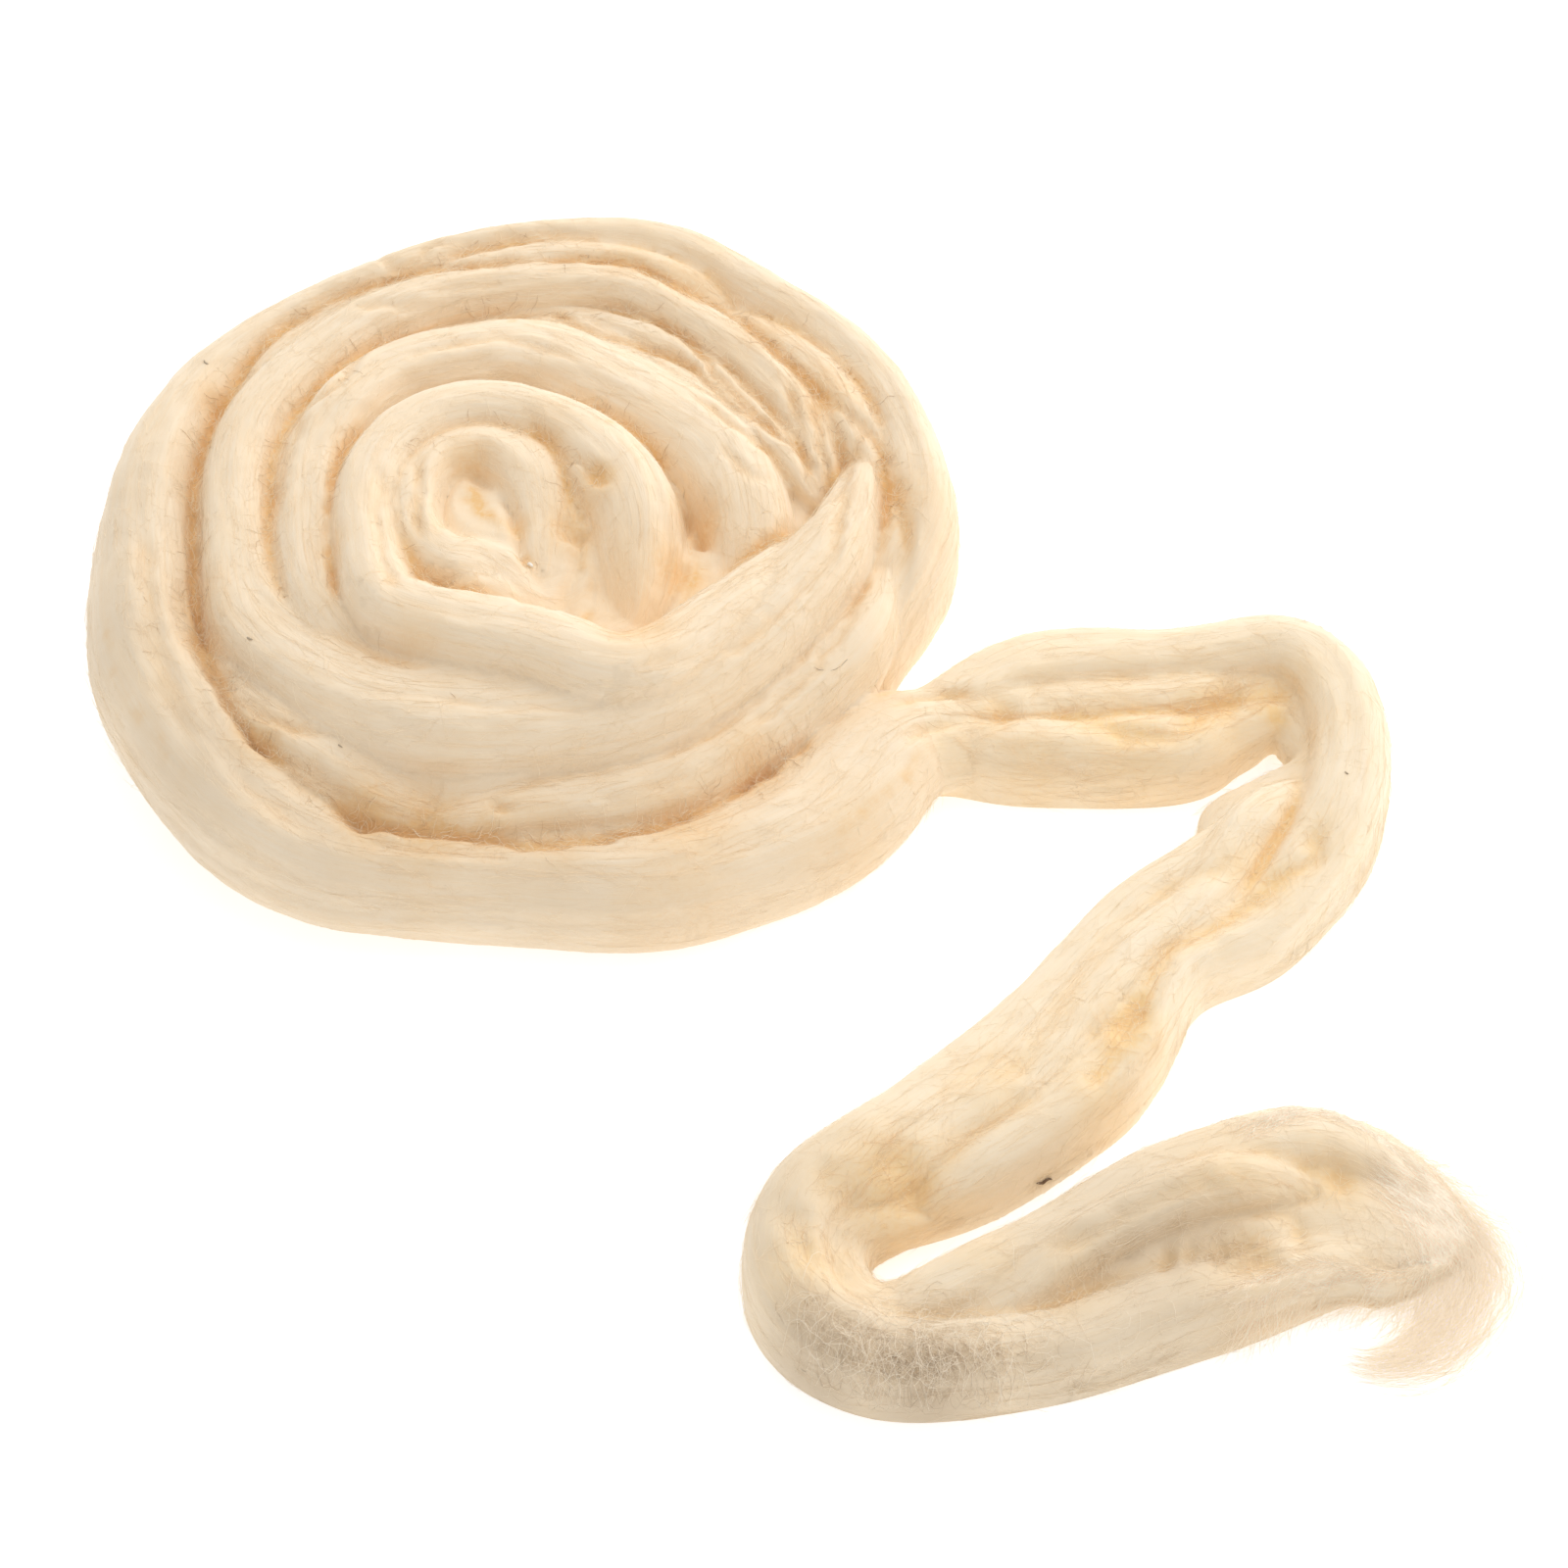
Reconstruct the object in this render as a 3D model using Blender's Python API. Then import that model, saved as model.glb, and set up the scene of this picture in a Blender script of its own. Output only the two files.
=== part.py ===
"""Wool roving: a soft combed strand wound into a flat bun, with its outer end left loose.

The bun is one solid and the loose end is another, laid against it at the neck. Both are
made of plies, the rounded folds in which the strand lies. A ply is a rounded section
carried along a route. The plies of a piece are melted into one skin, which is thinned
and trimmed flat where the roving rests. Tables are in millimetres and objects in metres,
with +Z up and the origin at the middle of the bun's underside.
"""
import math
from collections import namedtuple

import bmesh
import bpy
import numpy as np

MM = 0.001
WOOL_COLOUR = (0.88, 0.80, 0.67, 1.0)
WOOL_ROUGHNESS = 0.95

SECTION_POINTS = 16
SECTION_EXPONENT = 2.5      # 2 is an ellipse, and more is fuller at its shoulders
ROUTE_STEP = 4.0
SPANS_PER_ROW = 12
FOOT_DEPTH = 2.5            # how far resting plies reach below the surface before the trim
PLY_DEPTH = 3.0             # depth of a ply that rides on others, in half widths
NOSE_TIP = 0.05             # size of the cap at a ply's rounded end, as a share of the ply
MELT_SIZES = (1.2, 1.8)
SOFTEN_ROUNDS = 5
BUN_KEEP = 0.145
TAIL_KEEP = 0.15
PIECE_GAP = 0.3
FLOOR_REACH = 800.0
FLOOR_DEPTH = 40.0

# The neck: the upright plane where the strand leaves the bun, and the bearing that it faces.
NECK_X = 85.6
NECK_Y = -46.7
NECK_BEARING = 14.0
NECK_CUT = (30.0, 37.0, 60.0)

# The heart: a plain low mound that fills the bun under its plies.
Heart = namedtuple("Heart", "radius height")
HEART = (
    Heart(82.0, -2.5),
    Heart(79.0, 20.0),
    Heart(62.0, 30.0),
    Heart(30.0, 33.0),
)
HEART_SIDES = 48

# A row of a ply of the bun: its bearing about the middle in degrees, its distance from
# the middle, the height of its crest, and half its thickness.
Turn = namedtuple("Turn", "bearing radius crest half")

OUTER_TURN = (
    Turn(-20, 107, 18, 12),
    Turn(-26, 95, 19, 13),
    Turn(-32, 91, 20, 14),
    Turn(-40, 91, 20, 15),
    Turn(-48, 92, 20, 14),
    Turn(-58, 91, 20, 12),
    Turn(-70, 89, 20, 11),
    Turn(-88, 86, 21, 10),
    Turn(-104, 86, 22, 11),
    Turn(-115, 88, 25, 12),
    Turn(-130, 87, 30, 13),
    Turn(-154, 82, 33, 13),
    Turn(-175, 78, 36, 13),
    Turn(-195, 80, 38, 11),
    Turn(-213, 82, 39, 10),
    Turn(-230, 81, 40, 9),
    Turn(-248, 80, 42, 9),
    Turn(-264, 83, 43, 8),
    Turn(-279, 87, 43, 8),
    Turn(-292, 89, 43, 9),
    Turn(-308, 87, 41, 10),
    Turn(-326, 87, 40, 10),
    Turn(-342, 87, 39, 9),
    Turn(-357, 86, 37, 9),
    Turn(-371, 79, 28, 8),
    Turn(-378, 76, 23, 8),
    Turn(-385, 72, 18, 8),
    Turn(-392, 70, 14, 7),
)
INNER_FOLD = (
    Turn(-1, 80, 33, 4),
    Turn(-13, 78, 32, 6),
    Turn(-23, 77, 31, 7),
    Turn(-40, 72, 28, 8),
    Turn(-63, 72, 26, 9),
    Turn(-91, 73, 25, 8),
    Turn(-103, 76, 24, 7),
    Turn(-111, 78, 21, 5),
)
SECOND_TURN = (
    Turn(15, 77, 40, 4),
    Turn(4, 73, 41, 6),
    Turn(-9, 68, 41, 8),
    Turn(-22, 63, 40, 10),
    Turn(-41, 59, 39, 12),
    Turn(-60, 58, 38, 13),
    Turn(-80, 55, 37, 14),
    Turn(-100, 56, 37, 14),
    Turn(-118, 59, 37, 13),
    Turn(-137, 59, 37, 12),
    Turn(-154, 60, 38, 10),
    Turn(-174, 58, 39, 8),
    Turn(-193, 60, 40, 8),
    Turn(-209, 63, 41, 8),
    Turn(-226, 65, 41, 8),
    Turn(-242, 68, 42, 8),
    Turn(-258, 69, 42, 7),
    Turn(-275, 70, 42, 7),
    Turn(-289, 72, 42, 7),
    Turn(-302, 69, 42, 7),
    Turn(-318, 68, 41, 7),
    Turn(-333, 67, 41, 6),
    Turn(-346, 67, 40, 5),
    Turn(-353, 67, 38, 4),
)
THIRD_TURN = (
    Turn(-109, 50, 36, 8),
    Turn(-125, 49, 38, 8),
    Turn(-143, 47, 40, 8),
    Turn(-163, 44, 41, 8),
    Turn(-181, 43, 42, 8),
    Turn(-201, 45, 42, 8),
    Turn(-217, 46, 43, 8),
    Turn(-235, 48, 43, 9),
    Turn(-253, 47, 44, 10),
    Turn(-274, 47, 44, 11),
    Turn(-298, 42, 44, 12),
    Turn(-324, 43, 44, 12),
    Turn(-343, 47, 43, 12),
    Turn(-364, 50, 42, 12),
    Turn(-381, 52, 39, 11),
    Turn(-394, 48, 33, 9),
)
FOURTH_TURN = (
    Turn(-3, 68, 39, 5),
    Turn(-15, 59, 40, 7),
    Turn(-30, 56, 41, 8),
    Turn(-53, 56, 43, 9),
    Turn(-65, 54, 44, 9),
    Turn(-81, 43, 45, 9),
    Turn(-104, 39, 45, 9),
    Turn(-128, 39, 45, 9),
    Turn(-155, 32, 46, 8),
    Turn(-183, 29, 47, 8),
    Turn(-206, 28, 47, 8),
    Turn(-232, 27, 47, 8),
    Turn(-260, 24, 47, 8),
    Turn(-294, 21, 47, 8),
    Turn(-330, 21, 47, 10),
    Turn(-367, 26, 47, 11),
    Turn(-392, 32, 46, 11),
    Turn(-409, 39, 44, 10),
    Turn(-416, 38, 38, 8),
)
INNER_END = (
    Turn(-52, 27, 36, 6),
    Turn(-75, 26, 40, 7),
    Turn(-100, 20, 43, 8),
    Turn(-123, 23, 44, 7),
    Turn(-149, 22, 45, 6),
    Turn(-179, 20, 46, 6),
    Turn(-213, 18, 46, 6),
    Turn(-246, 14, 46, 7),
    Turn(-302, 7, 46, 8),
    Turn(-398, 9, 45, 8),
    Turn(-426, 19, 44, 7),
    Turn(-432, 23, 38, 5),
)
MIDDLE_PLY = (
    Turn(77, 62, 38, 3),
    Turn(64, 60, 40, 4),
    Turn(51, 59, 40, 4),
    Turn(37, 57, 40, 4),
    Turn(21, 58, 40, 4),
    Turn(5, 66, 36, 3),
)
UNDER_PLY = (
    Turn(84, 59, 38, 3),
    Turn(69, 53, 40, 4),
    Turn(52, 52, 40, 4),
    Turn(34, 53, 40, 4),
    Turn(19, 59, 39, 4),
    Turn(9, 63, 38, 3),
)
RIDING_TURNS = (
    INNER_FOLD, SECOND_TURN, THIRD_TURN, FOURTH_TURN, INNER_END, MIDDLE_PLY, UNDER_PLY
)

# A row of the loose end's bed, the low flat body that its plies lie on: both its edges,
# right and left as seen on the way from the neck to the free end, and its height.
Bed = namedtuple("Bed", "left_x left_y right_x right_y height")

TAIL_BED = (
    Bed(74, -31, 79, -56, 14),
    Bed(81, -32, 87, -53, 14),
    Bed(90, -27, 92, -49, 13),
    Bed(102, -19, 99, -49, 12),
    Bed(112, -15, 109, -51, 11),
    Bed(127, -13, 124, -54, 11),
    Bed(142, -12, 138, -51, 11),
    Bed(156, -11, 149, -45, 12),
    Bed(168, -13, 158, -38, 13),
    Bed(178, -19, 162, -42, 13),
    Bed(183, -32, 164, -46, 13),
    Bed(183, -54, 163, -47, 13),
    Bed(179, -72, 156, -51, 12),
    Bed(171, -86, 145, -58, 11),
    Bed(159, -99, 142, -72, 11),
    Bed(147, -105, 136, -82, 11),
    Bed(139, -112, 124, -88, 12),
    Bed(134, -125, 113, -101, 12),
    Bed(125, -137, 101, -115, 12),
    Bed(115, -149, 91, -130, 12),
    Bed(102, -158, 77, -140, 12),
    Bed(89, -166, 63, -150, 12),
    Bed(80, -171, 54, -162, 13),
    Bed(75, -174, 50, -177, 13),
    Bed(74, -178, 53, -190, 13),
    Bed(77, -181, 61, -200, 12),
    Bed(85, -180, 73, -205, 11),
    Bed(95, -173, 86, -205, 10),
    Bed(106, -167, 105, -204, 10),
    Bed(115, -157, 121, -201, 10),
    Bed(129, -150, 136, -193, 11),
    Bed(145, -142, 150, -186, 11),
    Bed(161, -137, 163, -185, 10),
    Bed(177, -141, 168, -199, 8),
    Bed(190, -151, 184, -193, 6),
    Bed(197, -165, 195, -181, 4),
)

# A row of a ply of the loose end: the bed's row that it lies at, how far it is across the
# bed from left to right, the height of its crest, and half its thickness.
Ride = namedtuple("Ride", "row across crest half")

OUTER_EDGE = (
    Ride(0, 0.36, 18, 7),
    Ride(2, 0.34, 18, 7),
    Ride(4, 0.22, 17, 9),
    Ride(6, 0.20, 16, 9),
    Ride(8, 0.26, 19, 9),
    Ride(10, 0.42, 20, 9),
    Ride(12, 0.34, 19, 9),
    Ride(14, 0.24, 16, 8),
    Ride(16, 0.22, 17, 7),
    Ride(18, 0.18, 17, 7),
    Ride(20, 0.22, 16, 7),
    Ride(22, 0.30, 14, 6),
)
MIDDLE_FOLD = (
    Ride(0, 0.52, 19, 7),
    Ride(2, 0.50, 18, 7),
    Ride(4, 0.50, 15, 7),
    Ride(6, 0.48, 15, 7),
    Ride(8, 0.40, 17, 5),
)
NEAR_EDGE = (
    Ride(0, 0.76, 18, 7),
    Ride(2, 0.78, 17, 7),
    Ride(4, 0.82, 15, 8),
    Ride(6, 0.82, 15, 8),
    Ride(7, 0.80, 15, 7),
    Ride(9, 0.60, 17, 4),
)
INNER_EDGE = (
    Ride(12, 0.78, 14, 6),
    Ride(14, 0.82, 15, 7),
    Ride(16, 0.80, 15, 7),
    Ride(18, 0.80, 15, 7),
    Ride(20, 0.76, 17, 8),
    Ride(22, 0.70, 19, 9),
    Ride(24, 0.68, 18, 9),
    Ride(26, 0.76, 15, 9),
    Ride(28, 0.80, 14, 8),
    Ride(30, 0.82, 14, 8),
    Ride(32, 0.80, 11, 7),
    Ride(34, 0.74, 8, 5),
)
CROWN = (
    Ride(11.5, 0.64, 17, 5),
    Ride(13, 0.64, 18, 6),
    Ride(15, 0.58, 17, 7),
    Ride(17, 0.56, 18, 7),
    Ride(19, 0.54, 18, 7),
    Ride(20, 0.54, 17, 7),
    Ride(21.5, 0.46, 17, 6),
    Ride(23, 0.40, 14, 5),
)
LAST_FAR = (
    Ride(24, 0.30, 14, 6),
    Ride(26, 0.24, 15, 7),
    Ride(28, 0.20, 15, 7),
    Ride(30, 0.20, 16, 8),
    Ride(32, 0.24, 15, 8),
    Ride(34, 0.40, 9, 6),
)
LAST_LOOP = (
    Ride(26, 0.50, 14, 7),
    Ride(27.5, 0.46, 15, 7),
    Ride(29, 0.38, 18, 6),
    Ride(30.5, 0.40, 19, 6),
    Ride(31.5, 0.48, 17, 6),
    Ride(32, 0.62, 14, 5),
)
TAIL_RIDES = (
    OUTER_EDGE, MIDDLE_FOLD, NEAR_EDGE, INNER_EDGE, CROWN, LAST_FAR, LAST_LOOP
)


def spline(rows, places):
    """Return the smooth curve through rows of numbers, at places counted in rows."""
    rows = np.array(rows, dtype=float)
    ends = np.vstack((2 * rows[0] - rows[1], rows, 2 * rows[-1] - rows[-2]))
    span = np.clip(np.floor(places).astype(int), 0, len(rows) - 2)
    t = (places - span)[:, None]
    before, start, stop, after = (ends[span + i] for i in range(4))
    leaving = (stop - before) / 2
    arriving = (after - start) / 2
    bend = 3 * (stop - start) - 2 * leaving - arriving
    twist = 2 * (start - stop) + leaving + arriving
    return start + leaving * t + bend * t**2 + twist * t**3


def smooth(rows):
    """Return the smooth curve through rows of numbers, at even steps along its plan."""
    last = len(rows) - 1
    curve = spline(rows, np.linspace(0.0, last, last * SPANS_PER_ROW + 1))
    along = distance_along(curve)
    even = np.linspace(0.0, along[-1], round(along[-1] / ROUTE_STEP) + 1)
    return np.column_stack([np.interp(even, along, column) for column in curve.T])


def distance_along(curve):
    """Return how far along its plan each point of a curve lies."""
    steps = np.hypot(*np.diff(curve[:, :2], axis=0).T)
    return np.concatenate(((0.0,), np.cumsum(steps)))


def section():
    """Return the sideways and upward shares of the points of a rounded section."""
    turn = np.linspace(0.0, 2 * math.pi, SECTION_POINTS, endpoint=False)
    shape = np.stack((np.cos(turn), np.sin(turn)))
    return np.sign(shape) * np.abs(shape) ** (2 / SECTION_EXPONENT)


def ply_rings(rows, resting):
    """Return a ply's rings: its rows hold plan x, plan y, crest height and half width."""
    curve = smooth(rows)
    x, y, crest, half = curve.T[:, :, None]
    ahead = np.gradient(curve[:, :2], axis=0)
    ahead /= np.hypot(*ahead.T)[:, None]
    along = distance_along(curve)[:, None]
    reach = np.clip(np.minimum(along, along[-1] - along) / half, 0.0, 1.0)
    nose = np.maximum(np.sqrt(1.0 - (1.0 - reach) ** 2), NOSE_TIP)
    foot = np.full_like(crest, -FOOT_DEPTH) if resting else crest - PLY_DEPTH * half
    sideways, upward = section()
    ring_x = x - ahead[:, 1:] * half * nose * sideways
    ring_y = y + ahead[:, :1] * half * nose * sideways
    ring_z = (crest + foot) / 2 + (crest - foot) / 2 * nose * upward
    return np.stack((ring_x, ring_y, ring_z), axis=-1)


def bed_rings(rows):
    """Return the rings of the loose end's bed, which spans its two edges."""
    left_x, left_y, right_x, right_y, height = smooth(rows).T[:, :, None]
    sideways, upward = section()
    ring_x = (left_x + right_x) / 2 + (left_x - right_x) / 2 * sideways
    ring_y = (left_y + right_y) / 2 + (left_y - right_y) / 2 * sideways
    ring_z = (height - FOOT_DEPTH) / 2 + (height + FOOT_DEPTH) / 2 * upward
    return np.stack((ring_x, ring_y, ring_z), axis=-1)


def heart_rings():
    """Return the rings of the heart, from its foot up to its flat top."""
    turn = np.linspace(0.0, 2 * math.pi, HEART_SIDES, endpoint=False)
    rings = []
    for row in HEART:
        level = np.full_like(turn, row.height)
        rings.append(np.stack((row.radius * np.cos(turn), row.radius * np.sin(turn), level), axis=-1))
    return rings


def plan_rows(turns):
    """Return the rows of a ply of the bun with its plan x and y in place of its bearing."""
    rows = []
    for turn in turns:
        bearing = math.radians(turn.bearing)
        place = (turn.radius * math.cos(bearing), turn.radius * math.sin(bearing))
        rows.append((*place, turn.crest, turn.half))
    return rows


def riding_rows(rides):
    """Return the rows of a ply of the loose end with its plan x and y on the bed."""
    row, across, crest, half = np.array(rides, dtype=float).T
    left_x, left_y, right_x, right_y, _ = spline(TAIL_BED, row).T
    x = left_x + (right_x - left_x) * across
    y = left_y + (right_y - left_y) * across
    return np.stack((x, y, crest, half), axis=-1)


def add_tube(mesh, rings):
    """Add a closed tube to a bmesh: a loop of vertices for each ring, capped at both ends."""
    loops = [[mesh.verts.new(point * MM) for point in ring] for ring in rings]
    for before, after in zip(loops[:-1], loops[1:]):
        for i, corner in enumerate(before):
            mesh.faces.new((before[i - 1], corner, after[i], after[i - 1]))
    mesh.faces.new(reversed(loops[0]))
    mesh.faces.new(loops[-1])


def new_object(name, mesh):
    """Return a new object that holds a finished bmesh, with its faces facing out."""
    bmesh.ops.recalc_face_normals(mesh, faces=mesh.faces)
    data = bpy.data.meshes.new(name)
    mesh.to_mesh(data)
    mesh.free()
    item = bpy.data.objects.new(name, data)
    bpy.context.scene.collection.objects.link(item)
    return item


def new_cutter(name, size, place, bearing=0.0):
    """Return a box that only cuts: its size, its middle and its bearing in the plan."""
    mesh = bmesh.new()
    bmesh.ops.create_cube(mesh, size=1.0)
    bmesh.ops.scale(mesh, vec=[length * MM for length in size], verts=mesh.verts)
    cutter = new_object(name, mesh)
    cutter.location = [length * MM for length in place]
    cutter.rotation_euler.z = math.radians(bearing)
    cutter.hide_render = True
    cutter.display_type = "WIRE"
    return cutter


def neck_cutter(name, side):
    """Return the box that ends a piece at the neck: 1 cuts past the neck, -1 before it."""
    bearing = math.radians(NECK_BEARING)
    shift = side * (NECK_CUT[0] - PIECE_GAP) / 2
    place = (NECK_X + shift * math.cos(bearing), NECK_Y + shift * math.sin(bearing), 0.0)
    return new_cutter(name, NECK_CUT, place, NECK_BEARING)


def melt(item, keep, cutters):
    """Melt an object's tubes into one skin, thin it, and trim it with the cutters.

    The first melt is fine and drops every wall inside the skin, and the second is even.
    """
    for size in MELT_SIZES:
        remesh = item.modifiers.new("melt", "REMESH")
        remesh.mode = "VOXEL"
        remesh.voxel_size = size * MM
        soften = item.modifiers.new("soften", "SMOOTH")
        soften.iterations = SOFTEN_ROUNDS
    thin = item.modifiers.new("thin", "DECIMATE")
    thin.ratio = keep
    for cutter in cutters:
        trim = item.modifiers.new("trim", "BOOLEAN")
        trim.operation = "DIFFERENCE"
        trim.object = cutter


def wool(name):
    """Return a dull cream wool material."""
    material = bpy.data.materials.new(name)
    material.use_nodes = True
    shader = material.node_tree.nodes["Principled BSDF"]
    shader.inputs["Base Color"].default_value = WOOL_COLOUR
    shader.inputs["Roughness"].default_value = WOOL_ROUGHNESS
    shader.inputs["Metallic"].default_value = 0.0
    return material


def build_bun(floor):
    """Build the wound bun from its heart and its plies."""
    mesh = bmesh.new()
    add_tube(mesh, heart_rings())
    add_tube(mesh, ply_rings(plan_rows(OUTER_TURN), resting=True))
    for turns in RIDING_TURNS:
        add_tube(mesh, ply_rings(plan_rows(turns), resting=False))
    bun = new_object("wound_roving", mesh)
    melt(bun, BUN_KEEP, (floor, neck_cutter("past_neck", 1)))
    bun.data.materials.append(wool("bun_wool"))


def build_tail(floor):
    """Build the loose end from its bed and its plies."""
    mesh = bmesh.new()
    add_tube(mesh, bed_rings(TAIL_BED))
    for rides in TAIL_RIDES:
        add_tube(mesh, ply_rings(riding_rows(rides), resting=False))
    tail = new_object("loose_end", mesh)
    melt(tail, TAIL_KEEP, (floor, neck_cutter("before_neck", -1)))
    tail.data.materials.append(wool("tail_wool"))


def main():
    """Clear the scene and build the roving."""
    for item in list(bpy.data.objects):
        bpy.data.objects.remove(item)
    floor_size = (FLOOR_REACH, FLOOR_REACH, FLOOR_DEPTH)
    floor = new_cutter("floor_trim", floor_size, (0.0, 0.0, -FLOOR_DEPTH / 2))
    build_bun(floor)
    build_tail(floor)


main()
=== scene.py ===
"""Wool roving: a soft combed strand wound into a flat bun, with its outer end left loose.

The plies are the rounded folds in which the strand lies. Each is a closed surface carried
along its route, at the place of its solid, and combed into ridges that run with the wool.
All plies are melted into one skin, which is creased and tufted and split at the neck.
Loose hair is thousands of thin tapered tubes that follow the plies, stray across them or
hang together at the frayed tip. Tables are in millimetres and meshes in metres.
"""

import math
from collections import namedtuple

import bpy
import numpy as np
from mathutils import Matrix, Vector

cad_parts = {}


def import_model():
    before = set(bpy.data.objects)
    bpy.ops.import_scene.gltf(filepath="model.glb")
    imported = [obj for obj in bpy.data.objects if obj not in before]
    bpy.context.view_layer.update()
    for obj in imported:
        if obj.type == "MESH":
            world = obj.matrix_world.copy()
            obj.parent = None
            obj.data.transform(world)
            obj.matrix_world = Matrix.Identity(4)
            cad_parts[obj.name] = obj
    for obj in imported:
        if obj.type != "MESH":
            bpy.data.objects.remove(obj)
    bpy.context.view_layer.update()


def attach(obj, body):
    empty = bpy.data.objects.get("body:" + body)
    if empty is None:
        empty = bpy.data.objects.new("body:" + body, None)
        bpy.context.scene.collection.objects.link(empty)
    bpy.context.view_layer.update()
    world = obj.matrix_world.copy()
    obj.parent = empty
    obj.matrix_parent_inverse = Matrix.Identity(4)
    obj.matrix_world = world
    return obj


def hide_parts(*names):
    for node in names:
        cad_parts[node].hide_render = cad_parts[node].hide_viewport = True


MM = 0.001
SEED = 11

# The camera: what it looks at, how far off and how high it is, and its lens.
CAMERA_TARGET = (0.057555, -0.046052, 0.0)
CAMERA_DISTANCE = 0.916
CAMERA_ELEVATION = 47.0
CAMERA_LENS = 100.0
CAMERA_SENSOR = 36.0
FRAME_SIDE = 1600           # the camera's frame is counted in this many steps each way

# Light and floor.
SKY_LOW = 0.63
SKY_HIGH = 2.18
SKY_FOCUS = 1.8
SKY_BRIGHT_SIDE = (0.66, 0.94, 0.50)
FLOOR_SIDE = 6.0
FLOOR_GLOW = 0.55

# The section and the route of a ply.
SECTION_EXPONENT = 2.75     # 2 is an ellipse, and more is fuller at its shoulders
RESTING_EXPONENT = 2.3      # of a ply that rests on the surface
SECTION_FINE = 2000
SECTION_UNDER = 0.3         # share of the points that the hidden under part gets
UNDER_LEVEL = -0.35         # upward share below which a section is that under part
SECTION_GIRTH = 7.6         # way round a section, in half widths
SIDES_PER_HALF = 11.0       # points round a ply for each millimetre of its half thickness
RING_STEP = 2.2
SPANS_PER_ROW = 12
PLY_DEPTH = 3.0             # depth of a ply that rides on others, in half widths
REST_HEIGHT = 0.2
NOSE_REACH = 4.4            # length of a ply's tapered end, in half widths
NOSE_DIVE = 0.7             # how far a tapered end dives, in half widths
FREE_END_REACH = 24.0       # length over which the loose end thins out
NECK_END_REACH = 14.0
NOSE_TIP = 0.04
BED_SIDES = 170
BED_GIRTH = 85.0
BED_COMB_SHARE = 0.7        # height of the bed's combs as a share of a ply's

# The plan grid that holds how high the roving is.
RELIEF_LOW = (-115.0, -235.0)
RELIEF_HIGH = (225.0, 120.0)
RELIEF_CELL = 0.5
RELIEF_FILL = 5
LAST_CELL = 1.001           # keeps a place's next cell on the grid
SOFTER_BLUR = 4.5           # radii of the bells that blur the heights and the slope
SOFT_BLUR = 1.4
SLOPE_BLUR = 1.5
SKIN_BLUR = 0.5
SKIN_FILLS = 2
COVER_LEAST = 1.0           # height from which a cell with no point is filled
DIAGONAL = 0.7
RAY_TOP = 55.0              # height from which the camera's rays are followed down
RAY_STEP = 0.25


def table(kind, *rows):
    """Return a table of named rows, all of one kind."""
    return tuple(kind(*row) for row in rows)


# The heart: a plain low mound that fills the bun under its plies, from its foot to its top.
Heart = namedtuple("Heart", "radius height")
HEART = table(Heart, (82.0, -2.5), (79.0, 20.0), (62.0, 30.0), (30.0, 33.0), (13.0, 40.5))
HEART_SIDES = 48

# A row of a ply of the bun: its bearing about the middle in degrees, its distance from
# the middle, the height of its crest, and half its thickness.
Turn = namedtuple("Turn", "bearing radius crest half")
# The outer turn starts in the neck, where it runs on into the loose end.
OUTER_TURN = table(
    Turn, (-16, 134, 10, 9), (-17, 121, 14, 11), (-20, 109, 17, 12), (-26, 95, 19, 13), (-32, 91, 20, 14),
    (-40, 91, 20, 15), (-48, 92, 20, 14), (-58, 91, 20, 12), (-70, 89, 20, 11), (-88, 84.2, 21, 10),
    (-104, 84.2, 22, 11), (-115, 86.2, 25, 12), (-130, 85.2, 30, 13), (-154, 82, 33, 13),
    (-175, 78, 36, 13), (-195, 80, 38, 11), (-213, 82, 39, 10), (-230, 81, 40, 9),
    (-248, 80, 42, 9), (-264, 83, 43, 8), (-279, 87, 43, 8), (-292, 89, 43, 9), (-308, 87, 41, 10),
    (-326, 87, 40, 10), (-342, 87, 39, 9), (-357, 86, 37, 9), (-371, 79, 28, 8), (-378, 76, 23, 8),
    (-385, 72, 18, 8), (-392, 70, 14, 7),
)
INNER_FOLD = table(
    Turn, (-1, 80, 33, 4), (-13, 78, 32, 6), (-23, 77, 31, 7), (-40, 72, 28, 8), (-63, 72, 26, 9),
    (-91, 73, 25, 8), (-103, 76, 24, 7), (-111, 78, 21, 5),
)
SECOND_TURN = table(
    Turn, (15, 77, 40, 4), (4, 73, 41, 6), (-9, 68, 41, 8), (-22, 63, 40, 10), (-41, 59, 39, 12),
    (-60, 58, 38, 13), (-80, 55, 37, 14), (-100, 56, 37, 14), (-118, 59, 37, 13),
    (-137, 59, 37, 12), (-154, 60, 38, 10), (-174, 58, 39, 8), (-193, 60, 40, 8), (-209, 63, 41, 8),
    (-226, 65, 41, 8), (-242, 68, 42, 8), (-258, 69, 42, 7), (-275, 70, 42, 7), (-289, 72, 42, 7),
    (-302, 69, 42, 7), (-318, 68, 41, 7), (-333, 67, 41, 6), (-346, 67, 40, 5), (-353, 67, 38, 4),
)
THIRD_TURN = table(
    Turn, (-109, 50, 36, 8), (-125, 49, 38, 8), (-143, 47, 40, 8), (-163, 44, 41, 8), (-181, 43, 42, 8),
    (-201, 45, 42, 8), (-217, 46, 43, 8), (-235, 48, 43, 9), (-253, 47, 44, 10), (-274, 47, 44, 11),
    (-298, 42, 44, 12), (-324, 43, 44, 12), (-343, 47, 43, 12), (-364, 50, 42, 12),
    (-381, 52, 39, 11), (-394, 48, 33, 9),
)
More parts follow.
